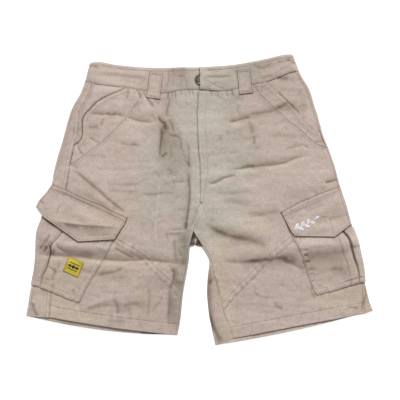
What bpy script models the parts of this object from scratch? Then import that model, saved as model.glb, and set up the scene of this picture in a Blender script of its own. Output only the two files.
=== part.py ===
"""Knee-length cargo shorts laid flat on a table, front side up.

Every cloth piece is an outer face worked out from the cutting lines below and
thickened inwards. The waist points along +Y, the wearer's right leg lies on -X,
and the table is Z = 0. All tables are in millimetres.
"""
import bpy
import bmesh
import math
from mathutils import Vector

MM = 0.001
WALL = 1.3                # one layer of canvas
HEM_WALL = 1.9            # turned and pressed leg hem
BAND_WALL = 2.0           # folded waistband
FLAP_WALL = 1.7           # lined pocket flap
LOOP_WALL = 1.2
SEAM_GAP = 0.3            # between neighbouring pieces
STACK = 5.0               # outer face of the front above the table
WAIST_LIFT = 1.5          # the panels climb this much to meet the waistband
WAIST_LIFT_FROM = 10.0    # below the seam, before the panels start to fall
WAIST_LIFT_RUN = 34.0
BAND_RISE = 0.4           # waistband above the panels it joins
MOUTH_TUCK = 11.0         # how far the hip piece runs under the pocket band
MOUTH_DROP = 1.75
MOUTH_END = 8.0           # the hip piece stops this far short of the mouth's end
HIP_SLOPE = 6.0           # over which it sinks below the band
HEM_SLACK = 8.5           # the back hem hangs lower than the front one
BUTTON_RADIUS = 9.0
BUTTON_HEIGHT = 2.4
BUTTON_AT = (0.6, 228.0)
EDGE_EASE = 0.6           # a pocket stands off the rolled side edge
FLY_UNDERLAP = 20.0       # the under end of the waistband past the centre
LOOP_WIDTH = 24.0

FACING_ROWS = 4
BAND_ROWS = 2
SIDE_ROWS = 3
LOWER_ROWS = 7
CENTRE_ROWS = 6
INSEAM_ROWS = FACING_ROWS + BAND_ROWS + SIDE_ROWS - CENTRE_ROWS
FACING_COLUMNS = 4
BAND_COLUMNS = 2
MAIN_COLUMNS = 8
MOUTH_STEPS = 6
ROLL_STEPS = 4
STRIP_STEPS = 2

# Waistband, wearer's right to left: bottom_x, bottom_y, top_x, top_y
WAISTBAND = [
    (-217, 227, -209, 259),
    (-187, 219, -184, 261),
    (-123, 211, -123, 253),
    (-74, 203, -74, 251),
    (-35, 208, -35, 251),
    (0, 209, 0, 252),
    (42, 207, 42, 255),
    (103, 219, 103, 264),
    (157, 236, 156, 275),
    (189, 245, 178, 275),
]

# Centre seams shared by both halves, waist to crotch
CENTRE_FRONT = [(0, 209), (-3, 167), (-2, 110), (2, 40), (0, -8), (-7, -35), (-12, -59)]
CENTRE_BACK = [(0, 209), (0, 110), (0, 20), (-4, -45), (-9, -87)]

# side: +1 is the wearer's left. Outlines run from waist to hem as (x, y);
# strip and inseam_strip say how far the back wraps onto the front: (y, width).
HALVES = {
    "right": dict(
        side=-1,
        outline=[(-217, 227), (-236, 186), (-250, 152), (-270, 82), (-281, 31), (-299, -32),
                 (-308, -68), (-311, -104), (-317, -149), (-326, -198), (-330, -221)],
        strip=[(230, 16), (140, 24), (50, 29), (-90, 36), (-221, 45)],
        row_rise=(4, 2),
        inner=[(-9, -87), (-19, -104), (-24, -137), (-31, -177), (-37, -227), (-42, -257)],
        inseam_strip=[(-87, 4), (-257, 4)],
        mouth=[(-152, 209), (-192, 190), (-218, 163), (-222, 128), (-237, 104)],
        band=[(-104, 206), (-132, 167), (-180, 116), (-208, 94), (-245, 68)],
        knee_seam=[(-260, -6), (-205, -48), (-163, -82), (-109, -116), (-62, -161), (-36, -188)],
    ),
    "left": dict(
        side=1,
        outline=[(189, 245), (206, 212), (218, 181), (235, 124), (256, 68), (266, 32), (280, -11),
                 (292, -55), (304, -92), (314, -153), (323, -192), (330, -211)],
        strip=[(250, 4), (-110, 4), (-176, 9), (-213, 16)],
        row_rise=(1, 5),
        inner=[(-9, -87), (12, -103), (17, -130), (14, -170), (18, -218), (30, -275.7)],
        inseam_strip=[(-87, 4), (-118, 5), (-145, 13), (-190, 27), (-275, 35)],
        mouth=[(126, 226), (163, 191), (187, 167), (205, 144), (228, 127)],
        band=[(102, 218), (119, 197), (148, 170), (191, 134), (240, 100)],
        knee_seam=[(271, 0), (224, -36), (172, -84), (110, -141), (64, -189), (47, -209)],
    ),
}

# Largest folds of the front: x0, y0, x1, y1, width, height
FOLDS = [
    (-120, -108, -50, -112, 20, -0.9),
    (-120, -138, -60, -136, 20, 0.8),
    (-150, 10, -60, 12, 16, 0.8),
    (-70, 150, -74, 90, 16, 0.9),
    (-58, 120, -40, 40, 16, -0.8),
    (40, -62, 120, -84, 22, -1.0),
    (60, -112, 140, -104, 18, 0.9),
    (60, 60, 190, 84, 16, 0.9),
    (60, 150, 110, 168, 14, 0.8),
]

# Cargo pockets, inner edge to outer: the height is over the pocket's lowest level
CARGO_POCKETS = {
    "right": dict(
        lines=[
            (0.0, [(-154, -54), (-165, -80), (-179, -107), (-206, -153), (-229, -195)]),
            (1.8, [(-200, -50), (-212, -90), (-226, -120), (-243, -160), (-254, -186)]),
            (1.8, [(-250, -46), (-266, -74), (-279, -96), (-291, -136), (-300, -167)]),
            (0.0, [(-254, -44), (-270, -72), (-283, -94), (-295, -134), (-304, -165)]),
            (0.6, [(-288, -34), (-298, -66), (-303, -94), (-308, -130), (-311, -162)]),
        ],
        outer_rows=(-30, -160),
        flap=dict(
            top=[(-280, 30), (-223, 5), (-165, -22), (-138, -34)],
            inner=[(-138, -34), (-144, -47), (-161, -75)],
            corner=(-230, -79),
            outer=[(-280, 30), (-292, 14), (-304, 0), (-311, -13)],
            tip=(-297, -32),
        ),
    ),
    "left": dict(
        lines=[
            (0.0, [(166, -50), (176, -71), (188, -91), (200, -124), (213, -163), (222, -181)]),
            (1.8, [(210, -46), (222, -90), (236, -130), (246, -158), (252, -173)]),
            (1.8, [(256, -44), (263, -72), (271, -92), (280, -121), (287, -150), (290, -161)]),
            (0.0, [(260, -42), (267, -70), (275, -90), (284, -119), (291, -148), (294, -160)]),
            (0.6, [(268, -38), (281, -70), (288, -92), (297, -120), (303, -145), (306, -157)]),
        ],
        outer_rows=(-50, -154),
        flap=dict(
            top=[(265, 25), (244, 18), (212, 5), (183, -8), (155, -24)],
            inner=[(155, -24), (163, -39), (180, -68)],
            corner=(256, -70),
            outer=[(265, 25), (276, -8), (283, -30)],
            tip=(288, -46),
        ),
    ),
}
PATCH = [(-247, -107), (-219, -119), (-231, -147), (-259, -134)]
PATCH_WALL = 0.9

# Belt loops: x and y at the top and at the bottom
FRONT_LOOPS = {"right": ((-82, 242), (-88, 193)), "left": ((83, 247), (88, 202))}
BACK_LOOPS = {"right": -140.0, "centre": 0.0, "left": 130.0}

MATERIALS = {
    "canvas": ((0.56, 0.47, 0.39), 0.92, 0.0),
    "patch_weave": ((0.62, 0.44, 0.05), 0.75, 0.0),
    "button_metal": ((0.10, 0.09, 0.085), 0.4, 0.9),
}


def soft_curve(points, steps):
    """Evenly spaced points on a Catmull-Rom curve through the given ones."""
    knots = [Vector(p) for p in points]
    knots = [knots[0] * 2 - knots[1]] + knots + [knots[-1] * 2 - knots[-2]]
    fine = []
    for a, b, c, d in zip(knots, knots[1:], knots[2:], knots[3:]):
        for step in range(16):
            t = step / 16
            fine.append(0.5 * (2 * b + (c - a) * t + (2 * a - 5 * b + 4 * c - d) * t * t
                               + (3 * b - a - 3 * c + d) * t ** 3))
    fine.append(knots[-2])
    return even_points(fine, steps)


def even_points(line, steps):
    """Evenly spaced points along a polyline."""
    lengths = [0.0]
    for a, b in zip(line, line[1:]):
        lengths.append(lengths[-1] + (b - a).length)
    result = []
    k = 0
    for step in range(steps + 1):
        want = lengths[-1] * step / steps
        while k < len(line) - 2 and lengths[k + 1] < want:
            k += 1
        span = lengths[k + 1] - lengths[k]
        result.append(line[k].lerp(line[k + 1], (want - lengths[k]) / span if span else 0.0))
    return result


def value_at(table, y):
    """Second column of a table at y, its first column, on straight lines."""
    rows = sorted(table)
    if y <= rows[0][0]:
        return rows[0][1]
    for (y0, a), (y1, b) in zip(rows, rows[1:]):
        if y <= y1:
            return a + (b - a) * (y - y0) / (y1 - y0)
    return rows[-1][1]


def line_x(points, y):
    """x of an outline at height y."""
    return value_at([(p[1], p[0]) for p in points], y)


def ease(t):
    t = min(max(t, 0.0), 1.0)
    return t * t * (3 - 2 * t)


WAIST_BOTTOM = soft_curve([(row[0], row[1]) for row in WAISTBAND], 200)
WAIST_TOP = soft_curve([(row[2], row[3]) for row in WAISTBAND], 200)


def waist_lift(x, y):
    below_seam = value_at([(p.x, p.y) for p in WAIST_BOTTOM], x) - y
    return WAIST_LIFT * (1 - ease((below_seam - WAIST_LIFT_FROM) / WAIST_LIFT_RUN))


def front_height(x, y):
    """Outer face of the front panels."""
    z = STACK + waist_lift(x, y)
    for x0, y0, x1, y1, width, height in FOLDS:
        start = Vector((x0, y0))
        run = Vector((x1, y1)) - start
        t = min(max((Vector((x, y)) - start).dot(run) / run.length_squared, 0.0), 1.0)
        away = (Vector((x, y)) - start - run * t).length / width
        z += height * math.exp(-away * away)
    return z


def coons(top, bottom, left, right):
    """Grid filling four border lines; top and bottom run left to right."""
    rows = len(left) - 1
    columns = len(top) - 1
    grid = []
    for j in range(rows + 1):
        t = j / rows
        line = []
        for i in range(columns + 1):
            s = i / columns
            sides = left[j] * (1 - s) + right[j] * s + top[i] * (1 - t) + bottom[i] * t
            corners = (top[0] * (1 - s) + top[-1] * s) * (1 - t)
            corners += (bottom[0] * (1 - s) + bottom[-1] * s) * t
            line.append(sides - corners)
        grid.append(line)
    return grid


def draw_in(grid, amount=SEAM_GAP / 2):
    """Pull a grid's border inwards, square to its edges."""
    rows = len(grid) - 1
    columns = len(grid[0]) - 1
    moves = {}

    def push(j, i, along, inside):
        square = Vector((-along.y, along.x)).normalized()
        if square.dot(inside) < 0:
            square.negate()
        moves[j, i] = moves.get((j, i), Vector((0, 0))) + square * amount

    for i in range(columns + 1):
        for j, inner in ((0, 1), (rows, rows - 1)):
            along = grid[j][min(i + 1, columns)] - grid[j][max(i - 1, 0)]
            push(j, i, along, grid[inner][i] - grid[j][i])
    for j in range(rows + 1):
        for i, inner in ((0, 1), (columns, columns - 1)):
            along = grid[min(j + 1, rows)][i] - grid[max(j - 1, 0)][i]
            push(j, i, along, grid[j][inner] - grid[j][i])
    return [[p + moves.get((j, i), Vector((0, 0))) for i, p in enumerate(line)]
            for j, line in enumerate(grid)]


def raised(grid, height):
    return [[(p.x, p.y, height(p.x, p.y)) for p in line] for line in grid]


def cloth(name, grids, wall, material, facing_up=True, hem_rows=0):
    """One cloth piece: grids of outer-face points, welded and thickened inwards."""
    bm = bmesh.new()
    doubled = []
    for grid in grids:
        vertices = [[bm.verts.new(Vector(p) * MM) for p in line] for line in grid]
        for upper, lower in zip(vertices, vertices[1:]):
            for a, b, c, d in zip(upper, upper[1:], lower[1:], lower):
                bm.faces.new((a, b, c, d))
        if hem_rows:
            doubled += [v.co.copy() for line in vertices[-hem_rows:] for v in line]
    bmesh.ops.remove_doubles(bm, verts=bm.verts, dist=0.00001)
    bmesh.ops.recalc_face_normals(bm, faces=bm.faces)
    bm.normal_update()
    largest = max(bm.faces, key=lambda face: face.calc_area() * abs(face.normal.z))
    if (largest.normal.z > 0) != facing_up:
        bmesh.ops.reverse_faces(bm, faces=bm.faces)
    mesh = bpy.data.meshes.new(name)
    bm.to_mesh(mesh)
    bm.free()
    piece = add_object(name, mesh, material)
    solidify = piece.modifiers.new("Cloth", "SOLIDIFY")
    solidify.thickness = wall * MM
    solidify.offset = -1
    solidify.use_even_offset = True
    if hem_rows:
        group = piece.vertex_groups.new(name="hem")
        for vertex in mesh.vertices:
            if any((vertex.co - co).length < 0.00002 for co in doubled):
                group.add([vertex.index], 1.0, "REPLACE")
        solidify.thickness = HEM_WALL * MM
        solidify.vertex_group = "hem"
        solidify.thickness_vertex_group = wall / HEM_WALL
    return piece


def add_object(name, mesh, material):
    piece = bpy.data.objects.new(name, mesh)
    shorts.objects.link(piece)
    mesh.materials.append(materials[material])
    return piece


def half_lines(half):
    """The border lines of one half, cut so that neighbours share their points."""
    side = half["side"]
    outline = soft_curve(half["outline"], 300)

    def seam_point(y):
        return Vector((line_x(outline, y) - side * value_at(half["strip"], y), y))

    mouth = soft_curve(half["mouth"], MOUTH_STEPS)
    band = soft_curve(half["band"], MOUTH_STEPS)
    knee = soft_curve(half["knee_seam"], MAIN_COLUMNS)
    waist_y = [(p.x, p.y) for p in WAIST_BOTTOM]
    corner_x = half["outline"][0][0] - side * value_at(half["strip"], half["outline"][0][1])
    stops = [value_at(waist_y, corner_x), mouth[-1].y, band[-1].y, knee[0].y,
             half["outline"][-1][1] - half["row_rise"][1]]
    seam = []
    for count, start, end in zip((FACING_ROWS, BAND_ROWS, SIDE_ROWS, LOWER_ROWS), stops, stops[1:]):
        seam += [seam_point(start + (end - start) * k / count) for k in range(count)]
    seam.append(seam_point(stops[-1]))
    last = len(seam) - 1
    rise = half["row_rise"]
    edge = []
    for k, p in enumerate(seam):
        y = p.y + rise[0] + (rise[1] - rise[0]) * k / last
        edge.append(Vector((line_x(outline, y), y)))

    waist_stops = [corner_x, mouth[0].x, band[0].x, CENTRE_FRONT[0][0]]
    waist = []
    for count, start, end in zip((FACING_COLUMNS, BAND_COLUMNS, MAIN_COLUMNS), waist_stops, waist_stops[1:]):
        waist += [start + (end - start) * k / count for k in range(count)]
    waist.append(waist_stops[-1])
    waist = [Vector((x, value_at(waist_y, x))) for x in waist]
    mouth[0] = waist[FACING_COLUMNS]
    band[0] = waist[FACING_COLUMNS + BAND_COLUMNS]
    mouth[-1] = seam[FACING_ROWS]
    band[-1] = seam[FACING_ROWS + BAND_ROWS]
    knee[0] = seam[FACING_ROWS + BAND_ROWS + SIDE_ROWS]

    inner = soft_curve(half["inner"], 300)
    below = [knee[-1].y + (half["inner"][-1][1] - knee[-1].y) * k / LOWER_ROWS for k in range(LOWER_ROWS + 1)]
    crotch = half["inner"][0][1]
    above = [crotch + (knee[-1].y - crotch) * k / INSEAM_ROWS for k in range(INSEAM_ROWS)]
    inner_edge = [Vector((line_x(inner, y), y)) for y in above + below]
    inseam = [p + Vector((side * value_at(half["inseam_strip"], p.y), 0)) for p in inner_edge]
    knee[-1] = inseam[INSEAM_ROWS]
    centre = soft_curve(CENTRE_FRONT, CENTRE_ROWS)
    front_inner = centre + [p.copy() for p in inseam[1:INSEAM_ROWS + 1]]
    hem = even_points([seam[-1], inseam[-1]], MAIN_COLUMNS)
    centre_back = soft_curve(CENTRE_BACK, CENTRE_ROWS)
    return dict(side=side, mouth=mouth, band=band, knee=knee, seam=seam, edge=edge, waist=waist,
                inner_edge=inner_edge, inseam=inseam, front_inner=front_inner, hem=hem,
                centre_back=centre_back)


def roll(edge, side, low, high, steps=ROLL_STEPS):
    """Points round a folded edge, from the underside up to the top."""
    radius = (high - low) / 2
    points = []
    for k in range(steps + 1):
        angle = math.pi * (k / steps - 0.5)
        x = edge.x - side * radius * (1 - math.cos(angle))
        points.append((x, edge.y, low + radius + radius * math.sin(angle)))
    return points


def make_fronts(name, lines):
    """Hip piece, pocket band, upper front and lower front of one half."""
    hip_cut = FACING_ROWS
    band_cut = hip_cut + BAND_ROWS
    knee_cut = band_cut + SIDE_ROWS
    waist = lines["waist"]
    seam = lines["seam"]
    side = lines["side"]

    tucked = [p - Vector((side * MOUTH_TUCK, MOUTH_TUCK * 0.35)) for p in lines["mouth"]]
    waist_y = [(p.x, p.y) for p in WAIST_BOTTOM]
    tucked[0] = Vector((waist[FACING_COLUMNS].x - side * MOUTH_TUCK, 0))
    tucked[0].y = value_at(waist_y, tucked[0].x)
    outer = seam[:hip_cut] + [seam[hip_cut - 1].lerp(seam[hip_cut], 1 - MOUTH_END / 25)]
    tucked[-1] = outer[-1] - Vector((side * MOUTH_END, 0.0))
    tucked = even_points(tucked, FACING_ROWS)
    top = [Vector((p.x, value_at(waist_y, p.x))) for p in even_points([seam[0], tucked[0]], FACING_COLUMNS)]
    grid = coons(top, even_points([outer[-1], tucked[-1]], FACING_COLUMNS), outer, tucked)
    grid = draw_in(grid, SEAM_GAP * 1.5)
    hip = []
    for line in grid:
        drops = [MOUTH_DROP * ease((p - line[0]).length / HIP_SLOPE) for p in line]
        hip.append([(p.x, p.y, front_height(p.x, p.y) - drop) for p, drop in zip(line, drops)])
    cloth("hip_piece_" + name, [hip], WALL, "canvas")

    grid = coons(waist[FACING_COLUMNS:FACING_COLUMNS + BAND_COLUMNS + 1], seam[hip_cut:band_cut + 1],
                 lines["mouth"], lines["band"])
    cloth("pocket_band_" + name, [raised(draw_in(grid), front_height)], WALL, "canvas")

    outer = lines["band"] + seam[band_cut + 1:knee_cut + 1]
    grid = coons(waist[FACING_COLUMNS + BAND_COLUMNS:], lines["knee"], outer, lines["front_inner"])
    cloth("front_upper_" + name, [raised(draw_in(grid), front_height)], WALL, "canvas")

    grid = coons(lines["knee"], lines["hem"], seam[knee_cut:], lines["inseam"][INSEAM_ROWS:])
    cloth("front_lower_" + name, [raised(draw_in(grid), front_height)], WALL, "canvas", hem_rows=2)


def make_back(name, lines):
    """Back of one half: flat on the table, rolled round the side and the inseam."""
    side = lines["side"]
    seam = lines["seam"]
    edge = lines["edge"]
    last = len(seam) - 1
    inner = lines["centre_back"] + lines["inner_edge"][1:]
    crotch_row = CENTRE_ROWS
    waist_y = [(p.x, p.y) for p in WAIST_BOTTOM]
    first_x = edge[0].x
    shares = [(p.x - first_x) / (lines["waist"][-1].x - first_x) for p in lines["waist"]]
    main = []
    wrap = []
    for k in range(last + 1):
        nudge = SEAM_GAP / 2 if k == 0 else 0.0
        top_z = front_height(seam[k].x, seam[k].y)
        low_z = waist_lift(edge[k].x, edge[k].y)
        around = roll(edge[k], side, low_z, top_z)
        if k == 0:
            around = [(x, value_at(waist_y, x) - nudge, z) for x, y, z in around]
        strip = []
        stop = seam[k] + Vector((side * SEAM_GAP / 2, 0))
        for step in range(1, STRIP_STEPS + 1):
            p = Vector(around[-1][:2]).lerp(stop, step / STRIP_STEPS)
            y = p.y
            if k == 0:
                y = value_at(waist_y, p.x) - nudge
            strip.append((p.x, y, front_height(p.x, y)))
        inside = inner[k].copy()
        if k <= crotch_row:
            inside.x += side * SEAM_GAP / 2
            under_end = inside
        else:
            under_end = inside + Vector((side * STACK / 2, 0))
        under = []
        begin = Vector(around[0][:2])
        for share, on_seam in zip(reversed(shares), reversed(lines["waist"])):
            p = begin.lerp(under_end, share)
            y = p.y
            if k == 0:
                p = on_seam.copy() if share < 1 else under_end.copy()
                y = p.y - nudge
            if k >= last - 1:
                y -= HEM_SLACK * math.sin(math.pi * share) * (1.0 if k == last else 0.4)
            under.append((p.x, y, waist_lift(p.x, y)))
        main.append(under + around + strip)
        if k > crotch_row:
            lifted = roll(inside, -side, 0.0, front_height(inside.x, inside.y))
            end = lines["inseam"][k - crotch_row] - Vector((side * SEAM_GAP / 2, 0))
            for step in range(1, STRIP_STEPS + 1):
                p = Vector(lifted[ROLL_STEPS][:2]).lerp(end, step / STRIP_STEPS)
                lifted.append((p.x, p.y, front_height(p.x, p.y)))
            lifted[0] = under[0]
            wrap.append(lifted)
    piece = cloth("back_" + name, [main, wrap], WALL, "canvas", facing_up=False, hem_rows=2)
    return piece


def band_top_y(x):
    return value_at([(p.x, p.y) for p in WAIST_TOP], x)


def make_waistband(halves):
    """One band from its under end at the fly, round the back, to its over end."""
    low = WAIST_LIFT
    high = STACK + WAIST_LIFT + BAND_RISE
    waist_y = [(p.x, p.y) for p in WAIST_BOTTOM]
    right = [p.x for p in halves["right"]["waist"]]
    left = [p.x for p in halves["left"]["waist"]]
    over_x = [0.8, 8.0, 16.0, 24.0] + [x for x in sorted(left) if x > 25.0]

    def column(x, z, lean):
        bottom = Vector((x, value_at(waist_y, x) + SEAM_GAP / 2))
        top = Vector((x + lean, band_top_y(x + lean)))
        return [(bottom.lerp(top, t / 4), z) for t in range(5)]

    def leaning(x):
        if x < -187:
            return 8.0 * (-187 - x) / 30
        if x > 157:
            return -11.0 * (x - 157) / 32
        return 0.0

    columns = []
    for x in [FLY_UNDERLAP, 12.0] + sorted(right, reverse=True):
        columns.append(column(x, high, leaning(x)))
    radius = (high - low) / 2
    for side, start in ((-1, -217.0), (1, 189.0)):
        turn = []
        for k in range(ROLL_STEPS * 2 + 1):
            angle = math.pi * (0.5 - k / (ROLL_STEPS * 2))
            x = start - side * radius * (1 - math.cos(angle))
            z = low + radius + radius * math.sin(angle)
            turn.append(column(x, z, leaning(x)))
        if side < 0:
            columns += turn
            columns += [column(x, low, leaning(x)) for x in sorted(right)]
            columns += [column(x, low, leaning(x)) for x in sorted(left) if x > 1.0]
        else:
            columns += reversed(turn)
    for x in reversed(over_x):
        columns.append(column(x, high, leaning(x)))
    over_end = len(columns) - len(over_x)
    grid = []
    for index, line in enumerate(columns):
        points = []
        for p, z in line:
            if index >= over_end:
                z += (BAND_WALL + SEAM_GAP) * (1 - ease((p.x - 24.0) / 22.0))
                away = math.hypot(p.x - BUTTON_AT[0], (p.y - BUTTON_AT[1]) * 0.9)
                z += (BUTTON_HEIGHT + SEAM_GAP) * (1 - ease((away - 12.0) / 14.0))
            points.append((p.x, p.y, z))
        grid.append(points)
    return cloth("waistband", [grid], BAND_WALL, "canvas")


def make_loops():
    """Two belt loops on the front of the waistband and three under its back."""
    band_face = STACK + WAIST_LIFT + BAND_RISE
    for name, (top, bottom) in FRONT_LOOPS.items():
        top, bottom = Vector(top), Vector(bottom)
        along = (bottom - top).normalized()
        across = Vector((-along.y, along.x)) * LOOP_WIDTH / 2
        grid = []
        for k in range(9):
            t = k / 8
            centre = top.lerp(bottom, t)
            z = band_face + SEAM_GAP + LOOP_WALL + 1.3 * math.sin(math.pi * t)
            grid.append([(*(centre + across * s), z) for s in (-1, 0, 1)])
        cloth("belt_loop_front_" + name, [grid], LOOP_WALL, "canvas")
    for name, x in BACK_LOOPS.items():
        waist_y = value_at([(p.x, p.y) for p in WAIST_BOTTOM], x)
        rows = even_points([Vector((x, band_top_y(x) - 5)), Vector((x, waist_y + 1))], 4)
        grid = [[(p.x + s * LOOP_WIDTH / 2, p.y, 0.0) for s in (-1, 0, 1)] for p in rows]
        cloth("belt_loop_back_" + name, [grid], LOOP_WALL, "canvas", facing_up=False)


def make_fly():
    """The doubled edge of the fly, lying over the centre seam."""
    edge = soft_curve([(-2, 207), (-4, 167), (-3, 110), (1, 40), (1, -4)], 10)
    widths = [(207, 17), (60, 17), (20, 12), (-4, 5)]
    grid = []
    for p in edge:
        width = value_at(widths, p.y)
        grid.append([Vector((p.x + width * s / 2, p.y)) for s in range(3)])
    thick = SEAM_GAP + WALL
    cloth("fly_placket", [raised(grid, lambda x, y: front_height(x, y) + thick + 0.15)], WALL, "canvas")


def make_cargo_pocket(name, table, lines):
    """Pleated pocket body, which turns round the side edge, and its flap."""
    side = lines["side"]
    level = SEAM_GAP + WALL
    rows = 8
    columns = []
    previous = None
    for height, points in table["lines"]:
        line = soft_curve(points, rows)
        if previous:
            middle = [a.lerp(b, 0.5) for a, b in zip(previous[1], line)]
            if (middle[0] - line[0]).length > 5.0:
                columns.append(((previous[0] + height) / 2 + (0.4 if height else 0.0), middle))
        columns.append((height, line))
        previous = (height, line)
    outline = soft_curve(HALVES[name]["outline"], 300)
    first, final = table["outer_rows"]
    grid = []
    for j in range(rows + 1):
        belly = 0.15 + 0.85 * ease(j / rows * 2.2) * (1 - 0.7 * ease((j / rows - 0.75) * 4))
        row = []
        for height, line in columns:
            p = line[j]
            row.append((p.x, p.y, STACK + level + height * belly))
        y = first + (final - first) * j / rows
        radius = STACK / 2 + level + EDGE_EASE
        centre_x = line_x(outline, y) - side * STACK / 2
        for angle in (math.radians(90), math.radians(60), math.radians(30), math.radians(5)):
            x = centre_x + side * radius * math.cos(angle)
            row.append((x, y, STACK / 2 + radius * math.sin(angle)))
        grid.append(row)
    cloth("cargo_pocket_" + name, [grid], WALL, "canvas")

    flap = table["flap"]
    steps = 8
    top = soft_curve(flap["top"], steps)
    outer = soft_curve(flap["outer"], 5)
    inner = soft_curve(flap["inner"], 5)
    bottom = even_points([outer[-1], Vector(flap["tip"])], 1)
    bottom += even_points([Vector(flap["tip"]), Vector(flap["corner"])], 3)[1:]
    bottom += even_points([Vector(flap["corner"]), inner[-1]], 4)[1:]
    grid = coons(top, bottom, outer, inner)
    over = STACK + SEAM_GAP + FLAP_WALL
    lap = WALL + SEAM_GAP + 0.9
    levels = [over + 0.3 + lap * ease(j * 0.75) for j in range(6)]
    cloth("pocket_flap_" + name, [[[(p.x, p.y, z) for p in line] for line, z in zip(grid, levels)]],
          FLAP_WALL, "canvas")


def make_patch():
    """Woven square sewn to the right cargo pocket."""
    face = STACK + SEAM_GAP + WALL + 2.3
    a, b, c, d = [Vector(p) for p in PATCH]
    grid = [[(*p, face + SEAM_GAP + PATCH_WALL) for p in even_points([left, right], 3)]
            for left, right in zip(even_points([a, d], 3), even_points([b, c], 3))]
    cloth("pocket_patch", [grid], PATCH_WALL, "patch_weave")


def make_button():
    """Domed metal button turned round its own axis."""
    profile = [(0.0, 1.0), (0.45, 0.96), (0.72, 0.78), (0.8, 0.62), (0.88, 0.72), (0.97, 0.62), (1.0, 0.3),
               (0.94, 0.0), (0.0, 0.0)]
    mesh = bpy.data.meshes.new("button")
    points = [(r * BUTTON_RADIUS * MM, 0.0, z * BUTTON_HEIGHT * MM) for r, z in profile]
    mesh.from_pydata(points, [(k, k + 1) for k in range(len(points) - 1)], [])
    button = add_object("button", mesh, "button_metal")
    z = STACK + WAIST_LIFT + BAND_RISE + SEAM_GAP
    button.location = Vector((*BUTTON_AT, z)) * MM
    screw = button.modifiers.new("Turn", "SCREW")
    screw.steps = 28
    screw.render_steps = 28
    screw.use_merge_vertices = True
    screw.merge_threshold = 0.00005
    screw.use_smooth_shade = True


for thing in list(bpy.data.objects):
    bpy.data.objects.remove(thing)
shorts = bpy.data.collections.new("cargo_shorts")
bpy.context.scene.collection.children.link(shorts)
materials = {}
for key, (colour, roughness, metallic) in MATERIALS.items():
    material = bpy.data.materials.new(key)
    material.use_nodes = True
    surface = material.node_tree.nodes["Principled BSDF"]
    surface.inputs["Base Color"].default_value = (*colour, 1.0)
    surface.inputs["Roughness"].default_value = roughness
    surface.inputs["Metallic"].default_value = metallic
    materials[key] = material

halves = {name: half_lines(half) for name, half in HALVES.items()}
for name, lines in halves.items():
    make_back(name, lines)
    make_fronts(name, lines)
    make_cargo_pocket(name, CARGO_POCKETS[name], lines)
make_waistband(halves)
make_loops()
make_fly()
make_patch()
make_button()
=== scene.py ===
import math
import bpy
import bmesh
import numpy as np
from mathutils import Matrix, Vector
from mathutils.bvhtree import BVHTree


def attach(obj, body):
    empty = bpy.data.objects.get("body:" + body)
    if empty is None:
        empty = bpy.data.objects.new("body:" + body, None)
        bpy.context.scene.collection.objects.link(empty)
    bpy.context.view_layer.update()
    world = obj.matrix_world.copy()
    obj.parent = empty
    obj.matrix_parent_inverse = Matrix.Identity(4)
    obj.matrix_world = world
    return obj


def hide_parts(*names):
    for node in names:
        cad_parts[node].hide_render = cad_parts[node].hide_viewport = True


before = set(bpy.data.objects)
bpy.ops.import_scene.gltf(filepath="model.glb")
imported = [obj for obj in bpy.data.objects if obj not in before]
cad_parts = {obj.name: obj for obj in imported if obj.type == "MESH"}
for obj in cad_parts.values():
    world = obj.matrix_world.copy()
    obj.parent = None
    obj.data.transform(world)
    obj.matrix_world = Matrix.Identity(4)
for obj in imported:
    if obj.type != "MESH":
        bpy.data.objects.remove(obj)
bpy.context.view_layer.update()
mm = 0.001  # every table below is in millimetres, in the frame's own axes
print("frame loaded")


def smoothLine(points, count=160):
    knots = np.array(points, float)
    knots = np.vstack([2 * knots[0] - knots[1], knots, 2 * knots[-1] - knots[-2]])
    t = np.linspace(0, 1, 20, endpoint=False)[:, None]
    fine = []
    for a, b, c, d in zip(knots, knots[1:], knots[2:], knots[3:]):
        fine.append(0.5 * (2 * b + (c - a) * t + (2 * a - 5 * b + 4 * c - d) * t ** 2
                           + (3 * b - a - 3 * c + d) * t ** 3))
    fine.append(knots[-2:-1])
    return evenLine(np.vstack(fine), count)


def evenLine(line, count=160):
    line = np.array(line, float)
    run = lineRun(line)
    want = np.linspace(0, run[-1], count + 1)
    return np.column_stack([np.interp(want, run, line[:, 0]), np.interp(want, run, line[:, 1])])


def lineRun(line):
    steps = np.hypot(*np.diff(line, axis=0).T)
    return np.concatenate([[0.0], np.cumsum(steps)])


def onLine(line, t):
    spot = np.clip(t, 0, 1) * (len(line) - 1)
    index = np.arange(len(line))
    return np.interp(spot, index, line[:, 0]), np.interp(spot, index, line[:, 1])


def atY(line, y):
    order = np.argsort(line[:, 1])
    return np.interp(y, line[order, 1], line[order, 0])


def atX(line, x):
    order = np.argsort(line[:, 0])
    return np.interp(x, line[order, 0], line[order, 1])


def cutByY(line, high, low):
    y = np.linspace(high, low, 161)
    return evenLine(np.column_stack([atY(line, y), y]))


def cutByX(line, start, end):
    x = np.linspace(start, end, 161)
    return evenLine(np.column_stack([x, atX(line, x)]))


def ease(t):
    t = np.clip(t, 0, 1)
    return t * t * (3 - 2 * t)


def bell(t):
    return np.exp(-t ** 2)


def sagging(points, sag, count):
    # a line through the points that hangs up or down in its middle
    line = evenLine(points, count)
    line[:, 1] += sag * np.sin(np.pi * np.linspace(0, 1, count + 1))
    return line


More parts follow.
